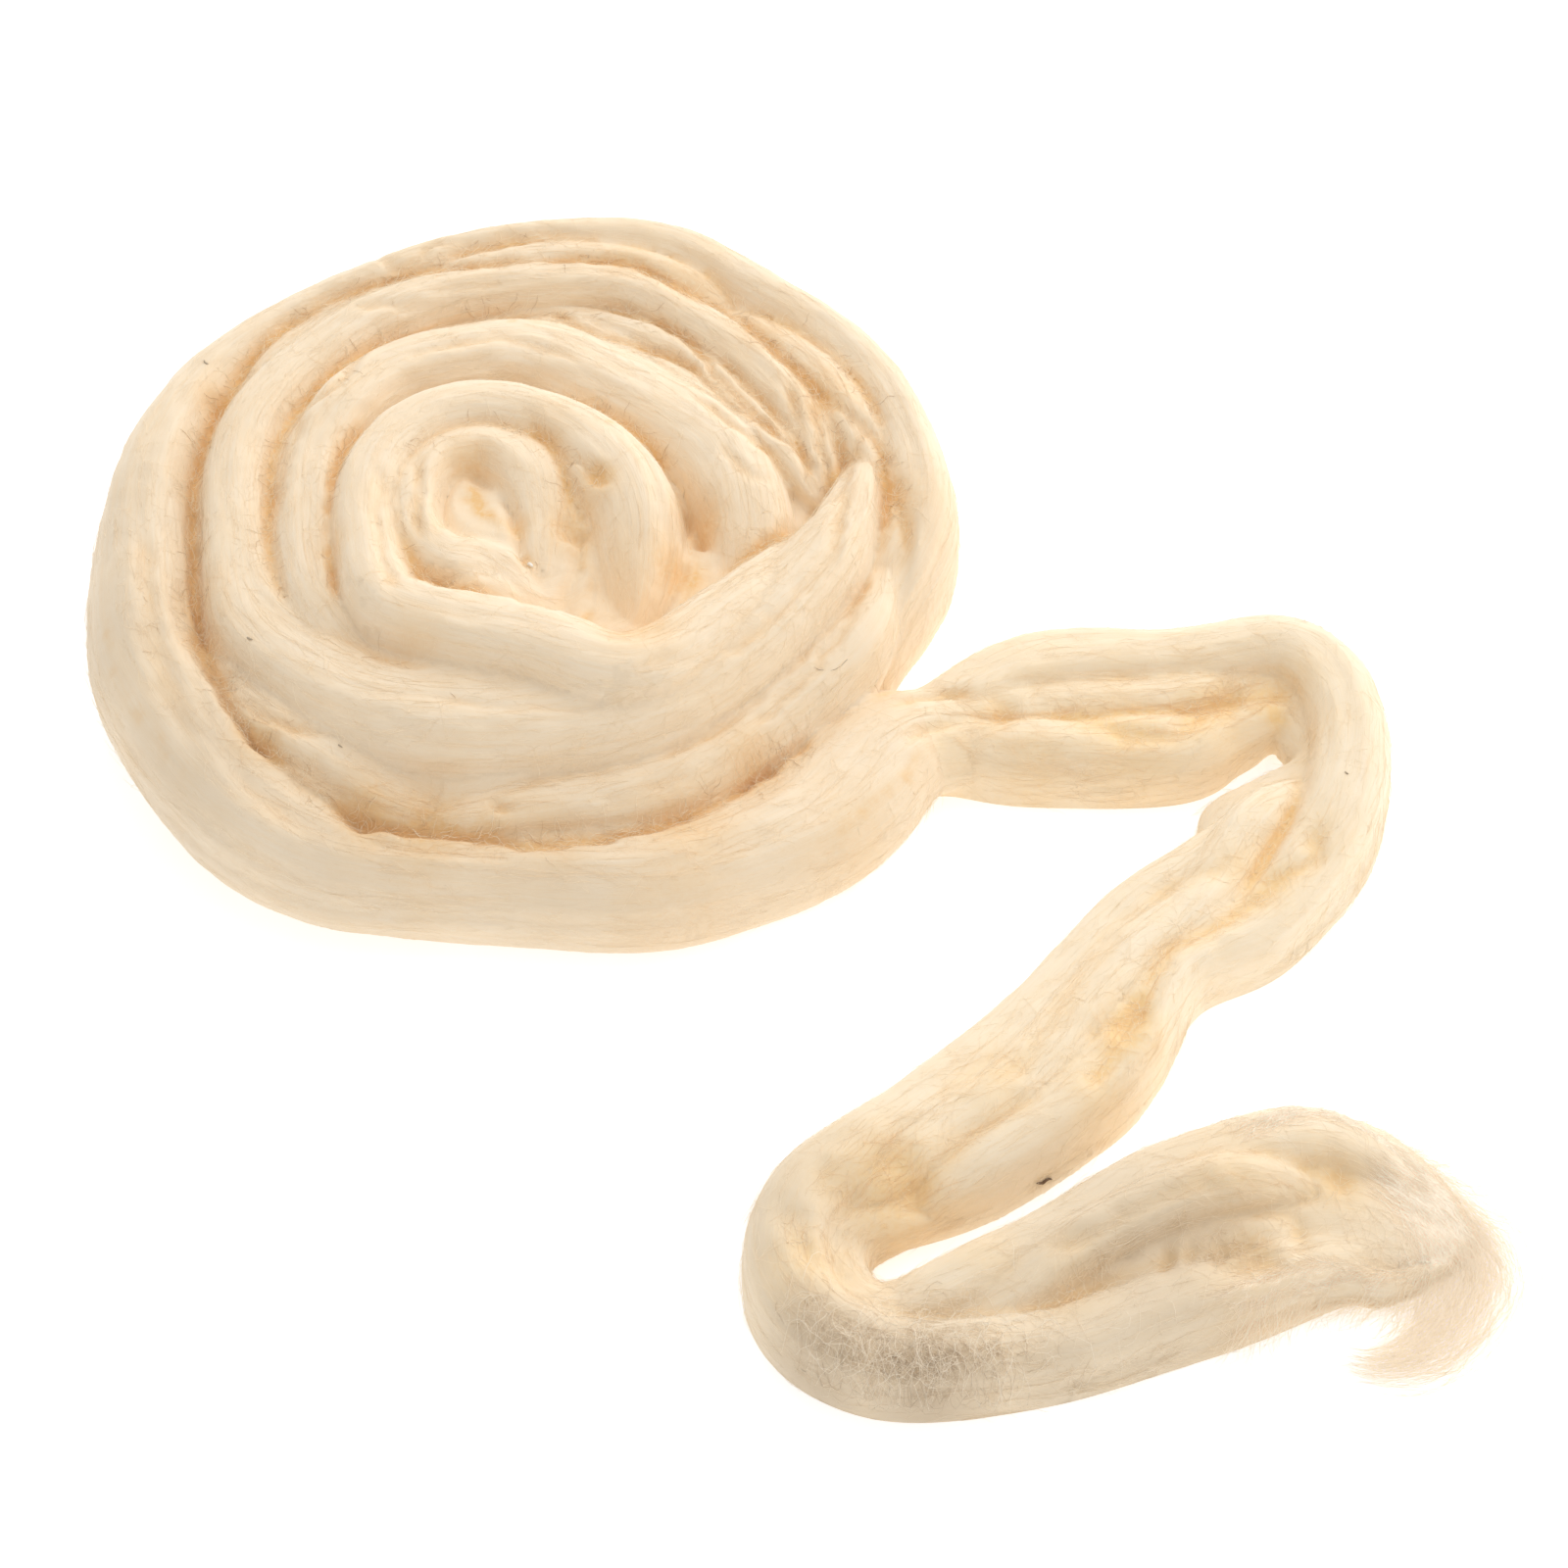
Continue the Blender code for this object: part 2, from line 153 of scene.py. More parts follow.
FOURTH_TURN = table(
    Turn, (-3, 68, 39, 5), (-15, 59, 40, 7), (-30, 56, 41, 8), (-53, 56, 43, 9), (-65, 54, 44, 9),
    (-81, 43, 45, 9), (-104, 39, 45, 9), (-128, 39, 45, 9), (-155, 32, 46, 8), (-183, 29, 47, 8),
    (-206, 28, 47, 8), (-232, 27, 47, 8), (-260, 24, 47, 8), (-294, 21, 47, 8), (-330, 21, 47, 10),
    (-367, 26, 47, 11), (-392, 32, 46, 11), (-409, 39, 44, 10), (-416, 38, 38, 8),
)
INNER_END = table(
    Turn, (-52, 27, 36, 6), (-75, 26, 40, 7), (-100, 20, 43, 8), (-123, 23, 44, 7), (-149, 22, 45, 6),
    (-179, 20, 46, 6), (-213, 18, 46, 6), (-246, 14, 46, 7), (-302, 7, 46, 8), (-398, 9, 45, 8),
    (-426, 19, 44, 7), (-432, 23, 38, 5),
)
# A short lobe in the middle.
MIDDLE_LOBE = table(
    Turn, (-134, 27, 41, 5), (-122, 26, 44, 6), (-103, 25, 45, 7), (-88, 27, 44, 6), (-78, 29, 40, 4),
)
# Two thin plies at the upper right, which rise out of the trough that they lie in.
MIDDLE_PLY = table(
    Turn, (126, 58, 32, 3), (108, 60, 34, 3), (92, 61, 36, 3), (77, 62, 38, 3), (64, 60, 40, 4),
    (51, 59, 40, 4), (37, 57, 40, 4), (21, 58, 40, 4), (5, 66, 36, 3),
)
UNDER_PLY = table(
    Turn, (118, 57, 32, 3), (100, 58, 35, 3), (84, 59, 38, 3), (69, 53, 40, 4), (52, 52, 40, 4),
    (34, 53, 40, 4), (19, 59, 39, 4), (9, 63, 38, 3),
)
# Low plies that only fill the steps between turns: at the front left, inside the outer turn
# at the upper right, and between the outer two turns at the back.
LOW_FILL = table(
    Turn, (-84, 72, 20, 7), (-97, 72, 25, 9), (-110, 72, 28, 10), (-124, 72, 31, 10), (-140, 71, 33, 9),
    (-158, 70, 34, 7),
)
HIGH_FILL = table(
    Turn, (64, 74, 36, 4), (48, 76, 39, 5), (34, 77, 40, 6), (20, 77, 39, 6), (8, 78, 35, 5),
    (-4, 80, 29, 5),
)
BACK_FILL = table(
    Turn, (150, 71, 37, 3), (136, 72, 38, 4), (120, 74, 39, 5), (104, 75, 41, 5), (88, 77, 42, 5),
    (74, 79, 42, 5), (62, 79, 41, 4), (50, 77, 37, 3),
)

# A row of the loose end's bed, the low flat body that its plies lie on: both its edges,
# right and left as seen on the way from the neck to the free end, and its height. The frayed
# rim past the last rows is hair alone.
Bed = namedtuple("Bed", "left_x left_y right_x right_y height")
TAIL_BED = table(
    Bed, (74, -31, 79, -56, 14), (81, -32, 87, -53, 14), (90, -27, 92, -49, 13), (102, -19, 99, -49, 12),
    (112, -15, 109, -51, 11), (127, -13, 124, -54, 11), (142, -12, 138, -51, 11),
    (156, -11, 149, -45, 12), (168, -13, 158, -38, 13), (178, -19, 162, -42, 13),
    (183, -32, 164, -46, 13), (183, -54, 163, -47, 13), (179, -72, 156, -51, 12),
    (171, -86, 145, -58, 11), (159, -99, 142, -72, 11), (147, -105, 136, -82, 11),
    (139, -112, 124, -88, 12), (134, -125, 113, -101, 12), (125, -137, 101, -115, 12),
    (115, -149, 91, -130, 12), (102, -158, 77, -140, 12), (89, -166, 63, -150, 12),
    (80, -171, 54, -162, 13), (75, -174, 50, -177, 13), (74, -178, 53, -190, 13),
    (77, -181, 61, -200, 12), (85, -180, 73, -205, 11), (95, -173, 86, -205, 10),
    (106, -167, 105, -204, 10), (115, -157, 121, -201, 10), (129, -150, 136, -193, 11),
    (145, -142, 150, -186, 11), (161, -138, 162, -183, 10), (175, -142, 171, -183, 8),
    (187, -152, 182, -180, 6), (193, -164, 190, -174, 4),
)

# A row of a ply of the loose end: the bed's row that it lies at, how far it is across the
# bed from left to right, the height of its crest, and half its thickness.
Ride = namedtuple("Ride", "row across crest half")
OUTER_EDGE = table(
    Ride, (0, 0.36, 18, 7), (2, 0.34, 18, 7), (4, 0.22, 17, 9), (6, 0.2, 16, 9), (8, 0.26, 19, 9),
    (10, 0.42, 20, 9), (12, 0.34, 19, 9), (14, 0.24, 16, 8), (16, 0.22, 17, 7), (18, 0.18, 17, 7),
    (20, 0.22, 16, 7), (22, 0.3, 14, 6),
)
MIDDLE_FOLD = table(
    Ride, (0, 0.52, 19, 7), (2, 0.5, 18, 7), (4, 0.5, 15, 7), (6, 0.48, 15, 7), (8, 0.4, 17, 5),
)
NEAR_EDGE = table(
    Ride, (0, 0.76, 18, 7), (2, 0.78, 17, 7), (4, 0.82, 15, 8), (6, 0.82, 15, 8), (7, 0.8, 15, 7),
    (9, 0.6, 17, 4),
)
INNER_EDGE = table(
    Ride, (12, 0.78, 14, 6), (14, 0.82, 15, 7), (16, 0.8, 15, 7), (18, 0.8, 15, 7), (20, 0.76, 17, 8),
    (22, 0.7, 19, 9), (24, 0.68, 18, 9), (26, 0.76, 15, 9), (28, 0.8, 14, 8), (30, 0.82, 14, 8),
    (32, 0.8, 11, 7), (34, 0.74, 8, 5),
)
CROWN = table(
    Ride, (11.5, 0.64, 17, 5), (13, 0.64, 18, 6), (15, 0.58, 17, 7), (17, 0.56, 18, 7), (19, 0.54, 18, 7),
    (20, 0.54, 17, 7), (21.5, 0.46, 17, 6), (23, 0.4, 14, 5),
)
LAST_FAR = table(
    Ride, (24, 0.3, 14, 6), (26, 0.24, 15, 7), (28, 0.2, 15, 7), (30, 0.2, 16, 8), (32, 0.24, 15, 8),
    (34, 0.4, 9, 6),
)
LAST_LOOP = table(
    Ride, (26, 0.5, 14, 7), (27.5, 0.46, 15, 7), (29, 0.38, 18, 6), (30.5, 0.4, 19, 6),
    (31.5, 0.48, 17, 6), (32, 0.62, 14, 5),
)

# The plies, in the order in which they are laid. Only the outer turn rests on the surface.
BUN_PLIES = (
    LOW_FILL, HIGH_FILL, BACK_FILL, OUTER_TURN, INNER_FOLD, SECOND_TURN, THIRD_TURN, FOURTH_TURN,
    INNER_END, MIDDLE_LOBE, MIDDLE_PLY, UNDER_PLY,
)
TAIL_PLIES = (OUTER_EDGE, MIDDLE_FOLD, NEAR_EDGE, INNER_EDGE, CROWN, LAST_FAR, LAST_LOOP)

# How a ply is uneven along its route: how far a wave runs in millimetres, and its size as
# a share of the half thickness.
Wave = namedtuple("Wave", "stretch share")
SWELL = Wave(38.0, 0.07)
SWAY = Wave(46.0, 0.06)
HEAVE = Wave(30.0, 0.05)

# How a ply is combed: the width and the stretch of a ridge in millimetres, its height, and
# how sharp the troughs between ridges are (0 is soft waves, and 1 is rounded locks).
Comb = namedtuple("Comb", "width stretch height sharpness")
COMBS = (
    Comb(11.0, 60.0, 0.7, 0.1),
    Comb(5.0, 42.0, 0.4, 0.4),
    Comb(2.6, 32.0, 0.16, 0.5),
)
COMB_TWIST = 0.0011         # turns round the ply for each millimetre along it
COMB_FULL_HALF = 9.0        # half thickness at which combs have their whole height
FEWEST_CELLS = 3
DRIFT_SHARE = 0.04          # turns by which a smooth random field shifts the combs
DRIFT_STRETCH = 55.0

# How the plies are melted into one skin.
MELT_SIZE = 0.9
SOFTEN_ROUNDS = 3
CREASE_LIMIT = 1.8          # how deep a crease may be before it is made shallower
CREASE_RAISE = 0.5
LIP_SHARE = 0.15            # height of a crease's lips as a share of its depth
LIP_PLACE = 2.2             # how far out they stand, in half widths of the crease
CREASE_STEP = 1.0
CREASE_MARGIN = 2.0         # half widths past its lips that a crease is worked out for
VALLEY_REACHES = (2.0, 3.5, 6.0)
VALLEY_GAINS = (0.55, 0.2, 0.06)        # how much painted warm shade each millimetre of a valley gets
VALLEY_SPREAD = 3.0         # how far the painted warm shade spreads round a crease, and its share
VALLEY_WIDE = 0.3
VALLEY_STEEP = 1.35         # slope at which the skin is a flank and no crease
VALLEY_LEAST = 0.12
VALLEY_LOW = 3.0            # height below which no valley counts
PRESSED_GAIN = 0.3
CREASE_RAMP = 7.0           # length in millimetres over which a crease's ends fade
RAG_REACH = 1.3             # the smooth random field that makes a crease ragged, and its size
RAG_SHIFT = 0.32

# Tufts on the finished skin: stretch along the wool, width across it, height, and how sharp
# the troughs between them are.
Tuft = namedtuple("Tuft", "stretch width height sharpness")
TUFTS = (
    Tuft(22.0, 4.2, 0.24, 0.3),
    Tuft(11.0, 2.2, 0.16, 0.6),
    Tuft(5.0, 5.0, 0.16, 0.0),
)
TUFT_TABLE = 256
SHARP_EDGE = 50.0
FOOT_DEPTH = 2.5            # how far resting plies reach below the floor before the cut
FLOOR_REACH = 400.0         # half the side of the block that cuts the skin flat
FLOOR_DEPTH = 30.0
SKIN_TOP = 90.0
# The plan outline of the loose end's side of the neck, anticlockwise.
LOOSE_SIDE = (
    (80.5, -24.5), (88.5, -50.5), (98.0, -63.0), (70.0, -101.0), (30.0, -114.0), (0.0, -260.0),
    (240.0, -260.0), (240.0, 60.0), (112.0, 0.0), (95.0, -17.0),
)
PLY_MAP_GAP = 200.0         # how far apart the plies lie on the map, round them

# Painted glow and shade: where the wool is painted warmer, for light that comes through it and
# for warm shade, in the camera's frame: right, down, reach in millimetres and share, below 0
# where it is painted paler.
GLOW_AND_SHADE_SPOTS = (
    (1150, 745, 13, 0.52), (1230, 730, 10, 0.6), (1292, 715, 7, 0.75), (1060, 770, 9, 0.38),
    (1010, 735, 6, 0.45), (1150, 1050, 7, 0.75), (1120, 1110, 8, 0.45), (1290, 900, 8, 0.38),
    (900, 1215, 12, 0.83), (835, 1290, 9, 0.6), (1010, 1100, 9, 0.3), (1000, 1290, 8, 0.45),
    (1250, 1190, 10, 0.45), (1360, 1210, 7, 0.75), (1265, 1275, 9, 0.38),
    (376, 840, 7, 0.95), (435, 851, 9, 0.75), (500, 858, 8, 0.45), (560, 861, 8, 0.4),
    (700, 848, 10, 0.5), (770, 800, 7, 0.5),
    (690, 900, 13, 0.25), (870, 860, 12, 0.22), (640, 262, 8, 0.4), (700, 285, 9, 0.4),
    (790, 340, 9, 0.35), (840, 400, 8, 0.45), (935, 500, 8, 0.3), (716, 545, 5, 0.7),
    (613, 487, 4, 0.6), (528, 564, 3, 0.7), (425, 665, 6, 0.4), (482, 480, 5, 0.5),
    (592, 606, 5, 0.6), (340, 560, 4, 0.35), (222, 415, 4, 0.4), (207, 625, 5, 0.4),
    (266, 757, 6, 0.6), (560, 430, 5, 0.2), (652, 642, 7, 0.75), (694, 600, 6, 0.75),
    (590, 608, 6, 0.65), (640, 590, 10, 0.25), (1270, 1300, 12, 0.3), (1345, 1260, 9, 0.2),
    (985, 1338, 9, -0.5), (1045, 1340, 8, -0.4), (1090, 1322, 9, 0.35), (205, 660, 4, 0.5),
    (430, 690, 8, -0.3), (500, 690, 8, -0.3), (1070, 686, 9, 0.2), (1140, 684, 9, 0.22),
    (1210, 682, 9, 0.22), (1275, 676, 8, 0.2), (1325, 690, 7, 0.25), (1342, 745, 7, 0.25),
    (985, 768, 7, 0.22), (1343, 848, 7, 0.22), (1120, 800, 8, 0.15), (1215, 790, 8, 0.15),
)

# Where the wool is greyer: on the loose end round its matted patch and towards its tip, and,
# as painted shade, on the left front of the outer turn: plan x and y, reach and share.
GREY_AND_SHADE_SPOTS = (
    (84.0, -205.0, 15.0, 0.85), (64.0, -200.0, 14.0, 0.8), (108.0, -200.0, 14.0, 0.55),
    (126.0, -182.0, 32.0, 0.6), (62.0, -170.0, 22.0, 0.45), (182.0, -165.0, 26.0, 0.35),
    (138.0, -178.0, 13.0, 0.7), (160.0, -166.0, 12.0, 0.4), (-90.0, 0.0, 22.0, 0.28),
    (-86.0, -32.0, 22.0, 0.36), (-62.0, -62.0, 24.0, 0.36), (-28.0, -80.0, 22.0, 0.26),
    (10.0, -84.0, 22.0, 0.18),
)

# Creases pressed into the wool: half width and depth in millimetres, and the spots that each
# runs through, right and down in the camera's frame.
Crease = namedtuple("Crease", "width depth spots")
CREASES = table(
    Crease,
    (1.4, 0.9, ((545, 268), (500, 272), (450, 275), (400, 283), (350, 298), (300, 325), (255, 370),
        (235, 405))),
    (1.3, 0.9, ((235, 405), (222, 425), (207, 445), (203, 480), (197, 520), (198, 550), (202, 580))),
    (1.5, 2.0, ((200, 565), (203, 590), (208, 610), (208, 640), (205, 660), (210, 685), (220, 702))),
    (1.4, 1.8, ((208, 670), (227, 707), (247, 740), (263, 757), (287, 770), (320, 787), (337, 803),
        (353, 823), (373, 840), (407, 850), (433, 855))),
    (1.3, 1.4, ((385, 848), (450, 853), (500, 858), (560, 862), (650, 850), (700, 835), (750, 803),
        (792, 782))),
    (1.3, 1.6, ((770, 795), (830, 745), (868, 708), (898, 665), (918, 600), (925, 550), (917, 508))),
    (1.8, 2.2, ((232, 408), (221, 422), (212, 438))),
    (1.8, 2.2, ((248, 748), (264, 757), (282, 766))),
    (2.2, 2.2, ((340, 822), (366, 842), (398, 850))),
    (1.9, 2.2, ((745, 806), (775, 793), (800, 775))),
    (1.6, 2.2, ((921, 530), (917, 508), (908, 488))),
    (1.2, 1.6, ((905, 490), (897, 540), (885, 580), (870, 600), (849, 630), (835, 645), (800, 670),
        (780, 692), (750, 730), (715, 753), (676, 764), (600, 783), (520, 800))),
    (1.2, 1.3, ((886, 431), (870, 470), (844, 511), (800, 540), (746, 582), (661, 641))),
    (1.3, 1.4, ((375, 360), (345, 390), (310, 420), (300, 445), (285, 500), (280, 540))),
    (1.3, 1.4, ((573, 392), (500, 382), (450, 387), (416, 400), (388, 417), (362, 438), (350, 464),
        (343, 490), (342, 550), (345, 590), (375, 635), (400, 655))),
    (1.3, 1.6, ((342, 555), (341, 577), (347, 598))),
    (1.3, 0.8, ((350, 315), (430, 315), (480, 322), (540, 318))),
    (1.3, 1.1, ((550, 268), (600, 265), (650, 272), (700, 298), (750, 325), (790, 358), (830, 400),
        (868, 424), (896, 455), (907, 487))),
    (1.2, 1.4, ((560, 318), (600, 338), (650, 352), (700, 375), (745, 410), (790, 440), (815, 460),
        (842, 510))),
    (2.0, 3.0, ((695, 497), (714, 524), (719, 560), (704, 592), (670, 628), (640, 645))),
    (2.8, 2.2, ((468, 462), (482, 478), (495, 505), (512, 530))),
    (1.4, 2.4, ((510, 538), (524, 559), (537, 576), (546, 586))),
    (2.2, 0.7, ((235, 780), (262, 815), (300, 842), (325, 875), (350, 900))),
    (2.2, 0.9, ((180, 800), (225, 850), (290, 895), (350, 925))),
    (1.2, 1.8, ((415, 903), (470, 920), (500, 930), (550, 955))),
    (2.4, 0.8, ((145, 540), (152, 620), (172, 700), (205, 770))),
    (1.6, 0.6, ((175, 520), (180, 600), (195, 680), (225, 750))),
    (1.3, 1.1, ((440, 268), (500, 250), (550, 238), (600, 236))),
    (1.2, 0.8, ((330, 285), (390, 265), (450, 250), (500, 243))),
    (1.1, 0.7, ((430, 712), (520, 722), (600, 720), (680, 698))),
    (1.0, 0.7, ((390, 742), (470, 760), (560, 765), (640, 748))),
    (1.0, 0.7, ((480, 748), (520, 750), (565, 753))),
    (1.0, 1.2, ((495, 815), (512, 822), (532, 822))),
    (1.6, 0.9, ((868, 470), (850, 560), (800, 622), (725, 668), (640, 700))),
    (1.1, 0.7, ((885, 500), (868, 570), (820, 640), (750, 690), (680, 720))),
    (1.3, 1.1, ((212, 655), (235, 700), (280, 735), (345, 755))),
    (1.2, 0.7, ((300, 700), (360, 725), (430, 735))),
    (1.2, 1.6, ((655, 312), (690, 340), (715, 360), (735, 385), (765, 412), (800, 450))),
    (1.2, 1.4, ((828, 400), (835, 440), (845, 480), (845, 508))),
    (1.0, 1.1, ((865, 430), (862, 465), (852, 500))),
    (1.0, 1.1, ((800, 385), (815, 425), (825, 465))),
    (1.3, 0.7, ((735, 440), (748, 468), (772, 486), (800, 495))),
    (1.1, 1.3, ((700, 400), (745, 430), (775, 455), (802, 470))),
    (1.3, 0.8, ((420, 300), (500, 292), (580, 295), (650, 318))),
    (1.3, 0.8, ((400, 370), (460, 352), (530, 348), (600, 372))),
    (1.3, 1.5, ((530, 415), (560, 448), (582, 464), (602, 478), (617, 489), (632, 480))),
    (2.2, 0.6, ((592, 472), (610, 484), (628, 482))),
    (1.3, 1.0, ((603, 503), (594, 540), (591, 572), (594, 602))),
    (3.2, 2.4, ((582, 580), (591, 604), (600, 622))),
    (1.3, 1.1, ((432, 460), (426, 490), (425, 530), (432, 560))),
    (1.3, 0.9, ((395, 470), (385, 520), (390, 570), (410, 610))),
    (1.3, 1.3, ((440, 570), (452, 597), (500, 606), (560, 618), (600, 626))),
    (1.3, 1.4, ((446, 552), (458, 538), (476, 527), (495, 530))),
    (1.2, 0.8, ((640, 440), (665, 480), (672, 530), (655, 580))),
    (1.1, 0.8, ((890, 560), (862, 640), (815, 700), (760, 745))),
    (1.3, 0.8, ((850, 700), (780, 765), (690, 800), (600, 820))),
    (2.6, 1.2, ((1005, 715), (1022, 724), (1040, 737))),
    (2.6, 1.2, ((1000, 752), (1035, 776), (1065, 790), (1105, 802))),
    (2.6, 1.0, ((1060, 730), (1110, 735), (1150, 748), (1200, 750), (1238, 718), (1270, 680))),
    (2.6, 1.0, ((1245, 745), (1262, 712), (1275, 695))),
    (3.0, 0.4, ((1314, 686), (1308, 705), (1312, 724))),
    (1.3, 1.3, ((900, 720), (950, 712), (1000, 700))),
    (1.4, 1.3, ((915, 760), (950, 745), (990, 735))),
    (1.9, 1.2, ((972, 794), (984, 788), (994, 790))),
    (2.6, 1.3, ((1345, 830), (1342, 860), (1335, 880), (1310, 895), (1280, 920), (1240, 945),
        (1200, 965), (1180, 990), (1165, 1018), (1148, 1050), (1130, 1082), (1110, 1120))),
    (2.9, 1.3, ((1172, 1005), (1155, 1035), (1145, 1065))),
    (2.6, 0.8, ((1305, 840), (1262, 880), (1200, 905), (1170, 930))),
    (2.6, 0.8, ((1150, 945), (1110, 985), (1080, 1030), (1060, 1060), (1040, 1085), (1005, 1112))),
    (2.6, 0.6, ((1060, 1110), (1000, 1150), (940, 1175))),
    (8.0, 1.6, ((960, 1195), (930, 1215), (905, 1235))),
    (2.6, 0.8, ((852, 1175), (846, 1210), (846, 1250))),
    (2.9, 1.0, ((800, 1215), (812, 1255), (825, 1285), (842, 1306))),
    (2.2, 0.6, ((780, 1260), (790, 1310), (815, 1350))),
    (2.6, 1.2, ((1060, 1275), (1110, 1262), (1150, 1245), (1200, 1215), (1250, 1208), (1300, 1208),
        (1355, 1222))),
    (0.9, 1.0, ((1196, 1245), (1192, 1275), (1186, 1305))),
    (0.9, 1.0, ((1214, 1240), (1216, 1270), (1216, 1300))),
    (0.9, 0.9, ((1236, 1242), (1246, 1268), (1240, 1300))),
    (2.2, 1.2, ((1355, 1215), (1372, 1202), (1380, 1190))),
    (4.8, 2.2, ((1225, 1262), (1265, 1282), (1310, 1272))),
    (2.1, 0.8, ((1225, 1240), (1280, 1235), (1322, 1250), (1328, 1290))),
    (2.2, 0.8, ((1200, 1250), (1192, 1280), (1190, 1312))),
    (2.6, 0.8, ((1132, 1288), (1108, 1315), (1080, 1342))),
    (2.6, 0.6, ((900, 1345), (980, 1355), (1060, 1345), (1120, 1335))),
    (2.9, 0.8, ((1375, 1280), (1420, 1300), (1470, 1310))),
    (2.6, 0.6, ((1400, 1225), (1450, 1240), (1500, 1265))),
)

# A ply's surface: its points and normals by ring and side, and where each lies on the ply.
Ply = namedtuple("Ply", "grid normals around along")
# How high the roving is over the plan: its height, that blurred twice, how deep creases are
# pressed, the valleys of the finished skin, which set its painted crease shade, the spots of
# painted glow and shade, and the topmost spots.
Relief = namedtuple("Relief", "heights soft softer pressed valley golden spots")
Spots = namedtuple("Spots", "topmost places onward sideways maps")
MAP_GROWTH = 12             # cells by which the map of the topmost spots grows past its edge


def spline(rows, places):
    """Return the smooth curve through rows of numbers, at places counted in rows."""
    rows = np.array(rows, dtype=float)
    ends = np.vstack((2 * rows[0] - rows[1], rows, 2 * rows[-1] - rows[-2]))
    span = np.clip(np.floor(places).astype(int), 0, len(rows) - 2)
    t = (places - span)[:, None]
    before, start, stop, after = (ends[span + i] for i in range(4))
    leaving = (stop - before) / 2
    arriving = (after - start) / 2
    bend = 3 * (stop - start) - 2 * leaving - arriving
    twist = 2 * (start - stop) + leaving + arriving
    return start + leaving * t + bend * t**2 + twist * t**3


def distance_along(curve):
    """Return how far along its plan each point of a curve lies."""
    steps = np.hypot(*np.diff(curve[:, :2], axis=0).T)
    return np.concatenate(((0.0,), np.cumsum(steps)))


def smooth(rows, step):
    """Return the smooth curve through rows of numbers, at even steps along its plan."""
    last = len(rows) - 1
    curve = spline(rows, np.linspace(0.0, last, last * SPANS_PER_ROW + 1))
    along = distance_along(curve)
    even = np.linspace(0.0, along[-1], round(along[-1] / step) + 1)
    return np.column_stack([np.interp(even, along, column) for column in curve.T])


def plan_rows(turns):
    """Return the rows of a ply of the bun with its plan x and y in place of its bearing."""
    bearing, radius, crest, half = np.array(turns, dtype=float).T
    turn = np.radians(bearing)
    return np.stack((radius * np.cos(turn), radius * np.sin(turn), crest, half), axis=-1)


def riding_rows(rides):
    """Return the rows of a ply of the loose end with its plan x and y on the bed."""
    row, across, crest, half = np.array(rides, dtype=float).T
    left_x, left_y, right_x, right_y, _ = spline(TAIL_BED, row).T
    x = left_x + (right_x - left_x) * across
    y = left_y + (right_y - left_y) * across
    return np.stack((x, y, crest, half), axis=-1)


def ease(t):
    """Return shares from 0 to 1 with flat starts and stops: 3 t squared less 2 t cubed."""
    return t * t * (3 - 2 * t)


def wave(along, stretch, rng):
    """Return a smooth random line from -1 to 1: one draw each stretch, eased between."""
    place = along / stretch
    draws = rng.uniform(-1.0, 1.0, int(place.max()) + 2)
    cell = np.floor(place).astype(int)
    return draws[cell] + (draws[cell + 1] - draws[cell]) * ease(place - cell)


def mixed(values, rows, columns, down, right):
    """Return a lattice's values between two rows and two columns, by the shares down and right."""
    (i, k), (j, m) = rows, columns
    near = values[i, j] * (1 - right) + values[i, m] * right
    far = values[k, j] * (1 - right) + values[k, m] * right
    return near * (1 - down) + far * down


def sharpened(field, kind):
    """Return a field's height: with sharpness s, f becomes (1 - s) f + s (2 |f|^0.5 - 1)."""
    locks = 2 * np.sqrt(np.abs(field)) - 1
    return kind.height * ((1 - kind.sharpness) * field + kind.sharpness * locks)


def ridges(around, along, cells, stretch, rng):
    """Return a smooth random field from -1 to 1 that closes round a ply.

    Draws sit on a lattice of cells round the ply and one row each stretch along it, and
    the field is eased between the four draws at the corners of each cell.
    """
    place = along / stretch
    row = np.floor(place).astype(int)
    down = ease(place - row)
    spot = (around % 1.0) * cells
    column = np.floor(spot).astype(int) % cells
    right = ease(spot - np.floor(spot))
    draws = rng.uniform(-1.0, 1.0, (row.max() + 2, cells))
    return mixed(draws, (row, row + 1), (column, (column + 1) % cells), down, right)


def combing(around, along, girth, rng):
    """Return how far combed ridges stand out: the sum of each comb's sharpened field."""
    total = np.zeros_like(along)
    for comb in COMBS:
        cells = max(FEWEST_CELLS, round(girth / comb.width))
        drift = DRIFT_SHARE * ridges(around, along, FEWEST_CELLS, DRIFT_STRETCH, rng)
        drift = COMB_TWIST * along + drift
        total += sharpened(ridges(around + drift, along, cells, comb.stretch, rng), comb)
    return total


def section(sides, exponent):
    """Return the sideways and upward shares of a rounded section at even steps round it.

    It starts and ends at the middle of its underside, where its points are furthest apart.
    """
    turn = np.linspace(-math.pi / 2, 3 * math.pi / 2, SECTION_FINE)
    shape = np.stack((np.cos(turn), np.sin(turn)))
    shape = np.sign(shape) * np.abs(shape) ** (2 / exponent)
    steps = np.hypot(np.diff(shape[0]), PLY_DEPTH / 2 * np.diff(shape[1]))
    steps *= np.where(shape[1, 1:] > UNDER_LEVEL, 1.0, SECTION_UNDER)
    passed = np.concatenate(((0.0,), np.cumsum(steps)))
    even = np.linspace(0.0, passed[-1], sides + 1)[:-1]
    return np.interp(even, passed, shape[0]), np.interp(even, passed, shape[1]), even / passed[-1]


def face_normals(grid):
    """Return the unit normal at each point of a grid that closes round its second way."""
    onward = np.gradient(grid, axis=0)
    sideways = np.roll(grid, -1, axis=1) - np.roll(grid, 1, axis=1)
    normals = np.cross(sideways, onward)
    return normals / np.maximum(np.linalg.norm(normals, axis=-1, keepdims=True), 1e-9)


